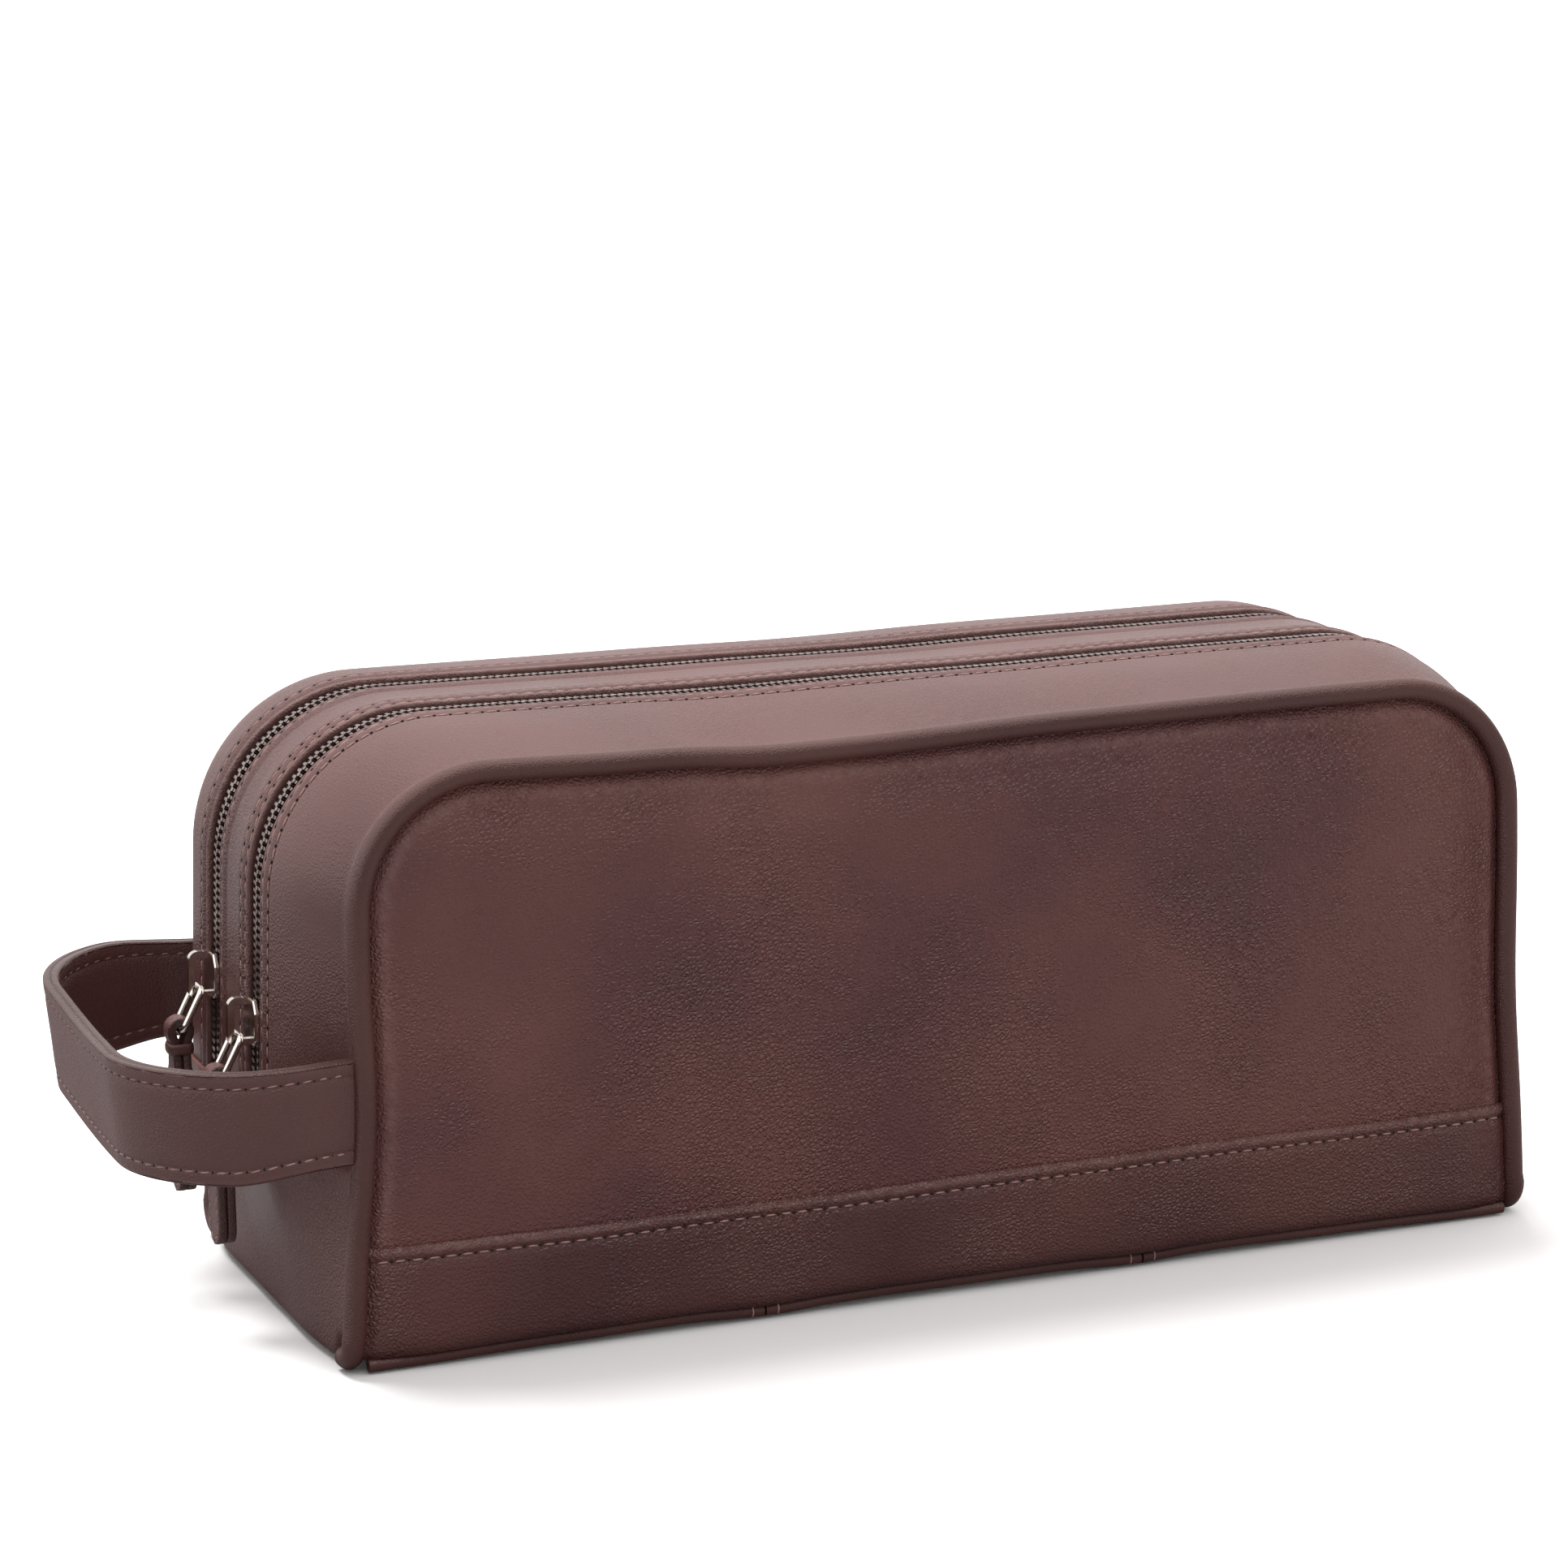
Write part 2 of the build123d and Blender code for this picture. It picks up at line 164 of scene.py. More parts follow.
def sheet_piece(name: str, outer: Array, inner: Array, material: bpy.types.Material,
                **values: Array) -> bpy.types.Object:
    """A closed piece of leather or cloth between two grids of points.

    Args:
        name: The piece's name.
        outer: Its face, as (rows, cols, 3).
        inner: Its underside, with the same shape.
        material: What it is finished in.
        values: Attributes over the grid, used for both sides.

    Returns:
        The new object.
    """
    rows, cols = outer.shape[:2]
    count = rows * cols
    faces = grid_faces(rows, cols) + grid_faces(rows, cols, count)
    rim = [r * cols for r in range(rows)] + [(rows - 1) * cols + c for c in range(1, cols)]
    rim += [r * cols + cols - 1 for r in range(rows - 2, -1, -1)] + list(range(cols - 2, 0, -1))
    faces += [(a, b, b + count, a + count) for a, b in zip(rim, rim[1:] + rim[:1])]
    points = np.concatenate([outer.reshape(-1, 3), inner.reshape(-1, 3)])
    doubled = {key: np.concatenate([value.reshape(count, -1)] * 2) for key, value in values.items()}
    doubled = {key: value[:, 0] if value.shape[1] == 1 else value for key, value in doubled.items()}
    return mesh_piece(name, points, faces, material, **doubled)


def sweep_piece(name: str, sections: Array, material: bpy.types.Material, ring: bool = False,
                **values: Array) -> bpy.types.Object:
    """A solid through closed sections, with flat ends unless it is a ring."""
    rows, cols = sections.shape[:2]
    if ring:
        sections = np.concatenate([sections, sections[:1]])
        values = {key: np.concatenate([value, value[:1]]) for key, value in values.items()}
        rows += 1
    faces = grid_faces(rows, cols, wrap=True)
    if not ring:
        faces += [tuple(range(cols)), tuple(range((rows - 1) * cols, rows * cols))]
    flat = {key: value.reshape(rows * cols, -1) for key, value in values.items()}
    flat = {key: value[:, 0] if value.shape[1] == 1 else value for key, value in flat.items()}
    return mesh_piece(name, sections.reshape(-1, 3), faces, material, **flat)


def resample(line: Array, out: Array, pitch: float, margin: float = 0.0) -> tuple[Array, Array, Array]:
    """Evenly spaced places along a line.

    Args:
        line: Points of the line, as (n, 3).
        out: Outward direction at each point.
        pitch: Distance between places.
        margin: Length left free at each end.

    Returns:
        The places, the line's direction at each and the outward direction at each.
    """
    steps = np.linalg.norm(np.diff(line, axis=0), axis=1)
    run = np.concatenate([[0.0], np.cumsum(steps)])
    count = max(1, int((run[-1] - 2 * margin) / pitch))
    at = margin + (run[-1] - 2 * margin) * (np.arange(count) + 0.5) / count

    def pick(values: Array, where: Array) -> Array:
        return np.stack([np.interp(where, run, values[:, i]) for i in range(3)], axis=1)

    along = pick(line, at + pitch / 4) - pick(line, at - pitch / 4)
    along /= np.linalg.norm(along, axis=1, keepdims=True) + 1e-12
    facing = pick(out, at)
    facing /= np.linalg.norm(facing, axis=1, keepdims=True)
    return pick(line, at), along, facing


def mirrored(points: Array, side: Side) -> Array:
    """Points made for the front, moved to a side of the bag."""
    return points * np.array([1.0, -side.value, 1.0])


# ---- node trees
def add_node(tree: bpy.types.NodeTree, kind: str, settings: dict | None = None,
             inputs: dict | None = None) -> bpy.types.Node:
    """Adds a node, with its settings, and its inputs as values or links."""
    node = tree.nodes.new(kind)
    for key, value in (settings or {}).items():
        setattr(node, key, value)
    for key, value in (inputs or {}).items():
        if isinstance(value, Socket):
            tree.links.new(value, node.inputs[key])
        else:
            node.inputs[key].default_value = value
    return node


def calc(tree: bpy.types.NodeTree, operation: str, *terms: Socket | float, clamp: bool = False) -> Socket:
    """The result of a Math node."""
    node = add_node(tree, "ShaderNodeMath", {"operation": operation, "use_clamp": clamp},
                    dict(enumerate(terms)))
    return node.outputs[0]


def blend_colors(tree: bpy.types.NodeTree, factor: Socket, low: Socket | tuple, high: Socket | tuple) -> Socket:
    """A colour between two, by a factor."""
    node = add_node(tree, "ShaderNodeMix", {"data_type": "RGBA"}, {0: factor, 6: low, 7: high})
    return node.outputs[2]


def noise(tree: bpy.types.NodeTree, place: Socket, scale: float, detail: float = 2.0) -> Socket:
    """Grey noise at a scale per millimetre."""
    node = add_node(tree, "ShaderNodeTexNoise", None, {"Vector": place, "Scale": scale, "Detail": detail})
    return node.outputs[0]


def between(tree: bpy.types.NodeTree, value: Socket, low: float, high: float, to_low: float = 0.0,
            to_high: float = 1.0) -> Socket:
    """A value moved from one range to another, and clipped to it."""
    node = add_node(tree, "ShaderNodeMapRange", None,
                    {0: value, 1: low, 2: high, 3: to_low, 4: to_high})
    return node.outputs[0]


def millimetres(tree: bpy.types.NodeTree) -> Socket:
    """Object coordinates in millimetres."""
    place = add_node(tree, "ShaderNodeTexCoord").outputs["Object"]
    node = add_node(tree, "ShaderNodeVectorMath", {"operation": "SCALE"}, {0: place, "Scale": 1 / MM})
    return node.outputs[0]


def new_group(name: str, kind: str, inputs: dict, outputs: dict) -> tuple:
    """A node group with named sockets.

    Args:
        name: The group's name.
        kind: Its tree type.
        inputs: Socket type of each input, or a number for a float input with that default.
        outputs: Socket type of each output.

    Returns:
        The tree, its input node and its output node.
    """
    tree = bpy.data.node_groups.new(name, kind)
    for key, value in inputs.items():
        number = isinstance(value, (int, float))
        kind_name = "NodeSocketFloat" if number else value
        socket = tree.interface.new_socket(name=key, in_out="INPUT", socket_type=kind_name)
        if number:
            socket.default_value = value
    for key, value in outputs.items():
        tree.interface.new_socket(name=key, in_out="OUTPUT", socket_type=value)
    return tree, tree.nodes.new("NodeGroupInput"), tree.nodes.new("NodeGroupOutput")


class SurfaceGroups:
    """Shader groups that several finishes share, each built once."""

    def __init__(self) -> None:
        """Builds the groups."""
        self.grain = self._grain()
        self.wear = self._wear()
        self.weave = self._weave()

    def _grain(self) -> bpy.types.NodeTree:
        """Pebbled leather grain that comes and goes, and slow changes of tone."""
        tree, given, out = new_group("Leather Grain", "ShaderNodeTree", {"Pebble Size": 1.0, "Patchiness": 0.6},
                                     {"Height": "NodeSocketFloat", "Tone": "NodeSocketFloat"})
        place = millimetres(tree)
        warped = add_node(tree, "ShaderNodeTexNoise", None, {"Vector": place, "Scale": 0.35, "Detail": 2.0})
        shift = add_node(tree, "ShaderNodeVectorMath", {"operation": "MULTIPLY_ADD"},
                         {0: warped.outputs["Color"], 1: (1.2, 1.2, 1.2), 2: place})
        per_mm = calc(tree, "DIVIDE", 1.0, given.outputs["Pebble Size"])
        cells = add_node(tree, "ShaderNodeTexVoronoi", {"feature": "DISTANCE_TO_EDGE"},
                         {"Vector": shift.outputs[0], "Scale": per_mm})
        pebble = between(tree, cells.outputs["Distance"], 0.0, 0.32)
        patch = between(tree, noise(tree, place, 0.028, 3.0), 0.36, 0.62)
        calm = calc(tree, "MULTIPLY", given.outputs["Patchiness"], calc(tree, "SUBTRACT", 1.0, patch))
        strength = calc(tree, "SUBTRACT", 1.0, calm)
        pores = noise(tree, place, 2.6, 3.0)
        folds = noise(tree, place, 0.16, 3.0)
        rough = calc(tree, "MULTIPLY_ADD", pebble, strength, calc(tree, "MULTIPLY", pores, 0.35))
        height = calc(tree, "MULTIPLY_ADD", folds, 0.9, rough)
        tree.links.new(height, out.inputs["Height"])
        tree.links.new(between(tree, noise(tree, place, 0.016, 5.0), 0.36, 0.64), out.inputs["Tone"])
        return tree

    def _wear(self) -> bpy.types.NodeTree:
        """Where edges have rubbed pale, from the piece's own wear values."""
        tree, given, out = new_group("Edge Wear", "ShaderNodeTree", {"Amount": 0.5}, {"Mask": "NodeSocketFloat"})
        rubbed = add_node(tree, "ShaderNodeAttribute", {"attribute_name": "wear"}).outputs["Fac"]
        broken = between(tree, noise(tree, millimetres(tree), 0.5, 4.0), 0.35, 0.65, 0.35, 1.0)
        worn = calc(tree, "MULTIPLY", rubbed, broken)
        tree.links.new(calc(tree, "MULTIPLY", worn, given.outputs["Amount"], clamp=True), out.inputs["Mask"])
        return tree

    def _weave(self) -> bpy.types.NodeTree:
        """Over and under threads along the piece's own flow values."""
        tree, given, out = new_group("Weave", "ShaderNodeTree", {"Thread Pitch": 0.6},
                                     {"Height": "NodeSocketFloat", "Thread": "NodeSocketFloat"})
        flow = add_node(tree, "ShaderNodeAttribute", {"attribute_name": "flow"}).outputs["Vector"]
        split = add_node(tree, "ShaderNodeSeparateXYZ", None, {0: flow})
        turn = calc(tree, "DIVIDE", math.pi, given.outputs["Thread Pitch"])
        diagonal = calc(tree, "ADD", split.outputs[0], split.outputs[1])
        warp = calc(tree, "SINE", calc(tree, "MULTIPLY", diagonal, turn))
        weft = calc(tree, "SINE", calc(tree, "MULTIPLY", split.outputs[0], calc(tree, "MULTIPLY", turn, 2.0)))
        height = calc(tree, "MULTIPLY_ADD", weft, 0.35, calc(tree, "ABSOLUTE", warp))
        tree.links.new(height, out.inputs["Height"])
        # Used as colour, the Thread mask is the weave's height, so the grooves between threads come out darker:
        # painted shade.
        tree.links.new(between(tree, height, 0.0, 1.0), out.inputs["Thread"])
        return tree


def new_material(name: str) -> tuple[bpy.types.Material, bpy.types.Node]:
    """An empty material with its Principled shader."""
    material = bpy.data.materials.new(name)
    material.use_nodes = True
    return material, material.node_tree.nodes["Principled BSDF"]


@dataclass(frozen=True)
class LeatherFinish:
    """A dyed calf leather."""

    name: str
    dark: tuple
    light: tuple
    pebble: float = 1.0
    patchiness: float = 0.6
    relief: float = 1.0
    roughness: float = 0.34
    worn: tuple = (0.28, 0.16, 0.14, 1.0)
    wear: float = 0.5
    depth: float = 0.0003
    paint: tuple = (0.028, 0.012, 0.011, 1.0)

    def material(self, groups: SurfaceGroups) -> bpy.types.Material:
        """The finish as a material."""
        material, shader = new_material(self.name)
        tree = material.node_tree
        grain = add_node(tree, "ShaderNodeGroup", {"node_tree": groups.grain},
                         {"Pebble Size": self.pebble, "Patchiness": self.patchiness})
        wear = add_node(tree, "ShaderNodeGroup", {"node_tree": groups.wear}, {"Amount": self.wear})
        painted = add_node(tree, "ShaderNodeAttribute", {"attribute_name": "edge"}).outputs["Fac"]
        color = blend_colors(tree, grain.outputs["Tone"], self.dark, self.light)
        color = blend_colors(tree, wear.outputs["Mask"], color, self.worn)
        color = blend_colors(tree, painted, color, self.paint)
        tree.links.new(color, shader.inputs["Base Color"])
        rough = between(tree, grain.outputs["Tone"], 0.0, 1.0, self.roughness - 0.05, self.roughness + 0.05)
        tree.links.new(calc(tree, "MULTIPLY_ADD", painted, -0.08, rough), shader.inputs["Roughness"])
        relief = add_node(tree, "ShaderNodeBump", None,
                          {"Strength": self.relief, "Distance": self.depth, "Height": grain.outputs["Height"]})
        tree.links.new(relief.outputs[0], shader.inputs["Normal"])
        return material


@dataclass(frozen=True)
class ThreadFinish:
    """Waxed sewing thread, or the painted shade of a needle puncture: a near-black speck standing in for the recess.
    """

    name: str
    color: tuple
    roughness: float = 0.55

    def material(self, groups: SurfaceGroups) -> bpy.types.Material:
        """The finish as a material."""
        material, shader = new_material(self.name)
        tree = material.node_tree
        place = millimetres(tree)
        shade = between(tree, noise(tree, place, 0.7, 3.0), 0.3, 0.7)
        dark = tuple(c * 0.72 for c in self.color[:3]) + (1.0,)
        tree.links.new(blend_colors(tree, shade, dark, self.color), shader.inputs["Base Color"])
        shader.inputs["Roughness"].default_value = self.roughness
        relief = add_node(tree, "ShaderNodeBump", None,
                          {"Strength": 0.4, "Distance": 0.00008, "Height": noise(tree, place, 5.0)})
        tree.links.new(relief.outputs[0], shader.inputs["Normal"])
        return material


@dataclass(frozen=True)
class ClothFinish:
    """Woven tape, lining or board."""

    name: str
    color: tuple
    pitch: float = 0.7
    roughness: float = 0.85

    def material(self, groups: SurfaceGroups) -> bpy.types.Material:
        """The finish as a material."""
        material, shader = new_material(self.name)
        tree = material.node_tree
        weave = add_node(tree, "ShaderNodeGroup", {"node_tree": groups.weave}, {"Thread Pitch": self.pitch})
        fleck = between(tree, noise(tree, millimetres(tree), 1.4, 3.0), 0.3, 0.7)
        # The colour darkens with random flecks, and in the weave's grooves, where the darkening is painted shade.
        shade = calc(tree, "MULTIPLY_ADD", fleck, 0.5, calc(tree, "MULTIPLY", weave.outputs["Thread"], 0.5))
        dark = tuple(c * 0.45 for c in self.color[:3]) + (1.0,)
        tree.links.new(blend_colors(tree, shade, dark, self.color), shader.inputs["Base Color"])
        shader.inputs["Roughness"].default_value = self.roughness
        relief = add_node(tree, "ShaderNodeBump", None,
                          {"Strength": 0.6, "Distance": 0.0002, "Height": weave.outputs["Height"]})
        tree.links.new(relief.outputs[0], shader.inputs["Normal"])
        return material


@dataclass(frozen=True)
class MetalFinish:
    """Polished nickel plate."""

    name: str
    color: tuple
    tarnish: tuple
    roughness: float = 0.22

    def material(self, groups: SurfaceGroups) -> bpy.types.Material:
        """The finish as a material."""
        material, shader = new_material(self.name)
        tree = material.node_tree
        cloud = between(tree, noise(tree, millimetres(tree), 0.35, 4.0), 0.35, 0.75)
        tree.links.new(blend_colors(tree, cloud, self.color, self.tarnish), shader.inputs["Base Color"])
        shader.inputs["Metallic"].default_value = 1.0
        tree.links.new(between(tree, cloud, 0.0, 1.0, self.roughness, self.roughness + 0.14),
                       shader.inputs["Roughness"])
        relief = add_node(tree, "ShaderNodeBump", None, {
            "Strength": 0.1, "Distance": 0.00002, "Height": noise(tree, millimetres(tree), 0.8)})
        tree.links.new(relief.outputs[0], shader.inputs["Normal"])
        return material


@dataclass
class Finishes:
    """Every material of the bag."""

    panel: bpy.types.Material
    band: bpy.types.Material
    gusset: bpy.types.Material
    piping: bpy.types.Material
    strap: bpy.types.Material
    thread: bpy.types.Material
    # Near-black painted shade for the specks that stand in for needle punctures.
    hole: bpy.types.Material
    tape: bpy.types.Material
    nickel: bpy.types.Material
    chain: bpy.types.Material
    lining: bpy.types.Material
    cord: bpy.types.Material
    board: bpy.types.Material

    @classmethod
    def make(cls) -> "Finishes":
        """Makes the shared groups and all finishes."""
        groups = SurfaceGroups()
        finishes = {
            # panel leather is the band leather made about a quarter lighter: painted light, making up for too little
            # light on the faces; band leather is the darker copy of the same leather.
            "panel": LeatherFinish("panel leather", (0.086, 0.027, 0.029, 1), (0.136, 0.049, 0.041, 1)),
            "band": LeatherFinish("band leather", (0.066, 0.020, 0.021, 1), (0.108, 0.039, 0.033, 1)),
            "gusset": LeatherFinish("gusset leather", (0.082, 0.031, 0.029, 1), (0.108, 0.045, 0.041, 1),
                                    pebble=0.9, relief=0.45, patchiness=0.85, roughness=0.36),
            "piping": LeatherFinish("piping leather", (0.058, 0.0185, 0.016, 1), (0.082, 0.029, 0.024, 1),
                                    pebble=0.6, relief=0.35, roughness=0.36),
            "strap": LeatherFinish("strap leather", (0.078, 0.030, 0.028, 1), (0.098, 0.040, 0.036, 1),
                                   pebble=0.8, relief=0.45, roughness=0.42, paint=(0.055, 0.023, 0.020, 1.0)),
            "thread": ThreadFinish("sewing thread", (0.36, 0.215, 0.195, 1)),
            # Near-black painted shade for the specks that stand in for needle punctures.
            "hole": ThreadFinish("needle hole", (0.012, 0.005, 0.005, 1), 0.9),
            "tape": ClothFinish("zip tape", (0.034, 0.018, 0.017, 1)),
            "nickel": MetalFinish("nickel plate", (0.80, 0.76, 0.71, 1), (0.62, 0.57, 0.52, 1), 0.1),
            "chain": MetalFinish("zip teeth metal", (0.36, 0.29, 0.27, 1), (0.17, 0.12, 0.11, 1), 0.3),
            "lining": ClothFinish("lining cloth", (0.075, 0.048, 0.042, 1), 0.5),
            "cord": ClothFinish("cotton cord", (0.7, 0.66, 0.58, 1), 0.9),
            "board": ClothFinish("stiffener board", (0.4, 0.33, 0.25, 1), 1.5),
        }
        return cls(**{key: finish.material(groups) for key, finish in finishes.items()})


# ---- geometry nodes
class RepeatTrees:
    """Geometry node trees for what repeats or follows a line."""

    def __init__(self) -> None:
        """Builds a tree for each unit, and one for round cords."""
        self.units = {unit: self._unit_tree(unit) for unit in Unit}
        self.tube = self._tube_tree()

    def _unit_shape(self, tree: bpy.types.NodeTree, unit: Unit) -> Socket:
        """The unit's mesh, 1 mm long, wide and high: X along the line, Z outwards."""
        if unit is Unit.TOOTH:
            arm = add_node(tree, "GeometryNodeMeshCube", None, {"Size": (0.46 * MM, 0.72 * MM, 0.84 * MM)})
            arm = add_node(tree, "GeometryNodeTransform", None,
                           {"Geometry": arm.outputs["Mesh"], "Translation": (0, -0.14 * MM, 0)})
            head = add_node(tree, "GeometryNodeMeshCylinder", {"fill_type": "NGON"},
                            {"Vertices": 10, "Radius": 0.34 * MM, "Depth": 1.0 * MM})
            head = add_node(tree, "GeometryNodeTransform", None,
                            {"Geometry": head.outputs["Mesh"], "Translation": (0, 0.24 * MM, 0),
                             "Scale": (1.0, 0.72, 1.0)})
            both = add_node(tree, "GeometryNodeJoinGeometry")
            for part in (head, arm):
                tree.links.new(part.outputs[0], both.inputs[0])
            return both.outputs[0]
        rings = 5 if unit is Unit.THREAD else 4
        ball = add_node(tree, "GeometryNodeMeshUVSphere", None,
                        {"Segments": 8, "Rings": rings, "Radius": 0.5 * MM})
        return ball.outputs["Mesh"]

    def _unit_tree(self, unit: Unit) -> bpy.types.NodeTree:
        """A tree that lays the unit at each point, by the point's along and out values."""
        tree, given, out = new_group(f"Row of {unit.value}", "GeometryNodeTree", {
            "Geometry": "NodeSocketGeometry", "Length": 1.0, "Width": 1.0, "Height": 1.0,
            "Material": "NodeSocketMaterial"}, {"Geometry": "NodeSocketGeometry"})
        axes = {}
        for axis in ("out", "along"):
            named = add_node(tree, "GeometryNodeInputNamedAttribute", {"data_type": "FLOAT_VECTOR"},
                             {"Name": axis})
            axes[axis] = named.outputs["Attribute"]
        turn = add_node(tree, "FunctionNodeAxesToRotation", {"primary_axis": "Z", "secondary_axis": "X"},
                        {0: axes["out"], 1: axes["along"]})
        size = add_node(tree, "ShaderNodeCombineXYZ", None, {
            0: given.outputs["Length"], 1: given.outputs["Width"], 2: given.outputs["Height"]})
        laid = add_node(tree, "GeometryNodeInstanceOnPoints", None, {
            "Points": given.outputs["Geometry"], "Instance": self._unit_shape(tree, unit),
            "Rotation": turn.outputs[0], "Scale": size.outputs[0]})
        real = add_node(tree, "GeometryNodeRealizeInstances", None, {0: laid.outputs[0]})
        smooth = add_node(tree, "GeometryNodeSetShadeSmooth", None,
                          {"Geometry": real.outputs[0], "Shade Smooth": unit is not Unit.TOOTH})
        dressed = add_node(tree, "GeometryNodeSetMaterial", None,
                           {"Geometry": smooth.outputs[0], "Material": given.outputs["Material"]})
        tree.links.new(dressed.outputs[0], out.inputs[0])
        return tree

    def _tube_tree(self) -> bpy.types.NodeTree:
        """A tree that makes a line of edges a round leather tube with closed ends."""
        tree, given, out = new_group("Piping Tube", "GeometryNodeTree", {
            "Geometry": "NodeSocketGeometry", "Radius": 0.002, "Sides": "NodeSocketInt",
            "Material": "NodeSocketMaterial"}, {"Geometry": "NodeSocketGeometry"})
        line = add_node(tree, "GeometryNodeMeshToCurve", None, {0: given.outputs["Geometry"]})
        rim = add_node(tree, "GeometryNodeCurvePrimitiveCircle", {"mode": "RADIUS"},
                       {"Resolution": given.outputs["Sides"], "Radius": given.outputs["Radius"]})
        tube = add_node(tree, "GeometryNodeCurveToMesh", None, {
            "Curve": line.outputs[0], "Profile Curve": rim.outputs[0], "Fill Caps": True})
        smooth = add_node(tree, "GeometryNodeSetShadeSmooth", None, {"Geometry": tube.outputs[0]})
        real = add_node(tree, "GeometryNodeRealizeInstances", None, {0: smooth.outputs[0]})
        dressed = add_node(tree, "GeometryNodeSetMaterial", None,
                           {"Geometry": real.outputs[0], "Material": given.outputs["Material"]})
        tree.links.new(dressed.outputs[0], out.inputs[0])
        return tree

    def _bake(self, source: bpy.types.Object, tree: bpy.types.NodeTree, inputs: dict) -> bpy.types.Object:
        """The result of a tree on a source mesh, as a plain mesh piece of the same name."""
        modifier = source.modifiers.new(tree.name, "NODES")
        modifier.node_group = tree
        ids = {item.name: item.identifier for item in tree.interface.items_tree if item.in_out == "INPUT"}
        for key, value in inputs.items():
            modifier[ids[key]] = value
        bpy.context.view_layer.update()
        graph = bpy.context.evaluated_depsgraph_get()
        mesh = bpy.data.meshes.new_from_object(source.evaluated_get(graph))
        name, old = source.name, source.data
        bpy.data.objects.remove(source)
        bpy.data.meshes.remove(old)
        mesh.name = name
        if not mesh.materials:
            mesh.materials.append(inputs["Material"])
        return piece_object(name, mesh)

    def row(self, name: str, unit: Unit, places: list, size: tuple, material: bpy.types.Material
            ) -> bpy.types.Object:
        """Units at many places.

        Args:
            name: The piece's name.
            unit: What is laid down.
            places: Results of resample().
            size: Length, width and height of a unit.
            material: What it is finished in.

        Returns:
            One plain mesh object.
        """
        points, along, out = (np.concatenate(part) for part in zip(*places))
        mesh = bpy.data.meshes.new(name)
        mesh.from_pydata((points * MM).tolist(), [], [])
        for key, value in (("along", along), ("out", out)):
            mesh.attributes.new(key, "FLOAT_VECTOR", "POINT").data.foreach_set(
                "vector", value.astype(np.float32).ravel())
        inputs = dict(zip(("Length", "Width", "Height"), (float(s) for s in size)), Material=material)
        return self._bake(piece_object(name, mesh), self.units[unit], inputs)

    def cord(self, name: str, lines: list, radius: float, sides: int, material: bpy.types.Material
             ) -> bpy.types.Object:
        """Round tubes along one or more lines of points, in millimetres."""
        points = np.concatenate(lines)
        starts = np.cumsum([0] + [len(line) for line in lines])
        edges = [(i, i + 1) for a, b in zip(starts, starts[1:]) for i in range(a, b - 1)]
        mesh = bpy.data.meshes.new(name)
        mesh.from_pydata((points * MM).tolist(), edges, [])
        inputs = {"Radius": radius * MM, "Sides": sides, "Material": material}
        obj = self._bake(piece_object(name, mesh), self.tube, inputs)
        close_and_smooth(obj.data)
        return obj


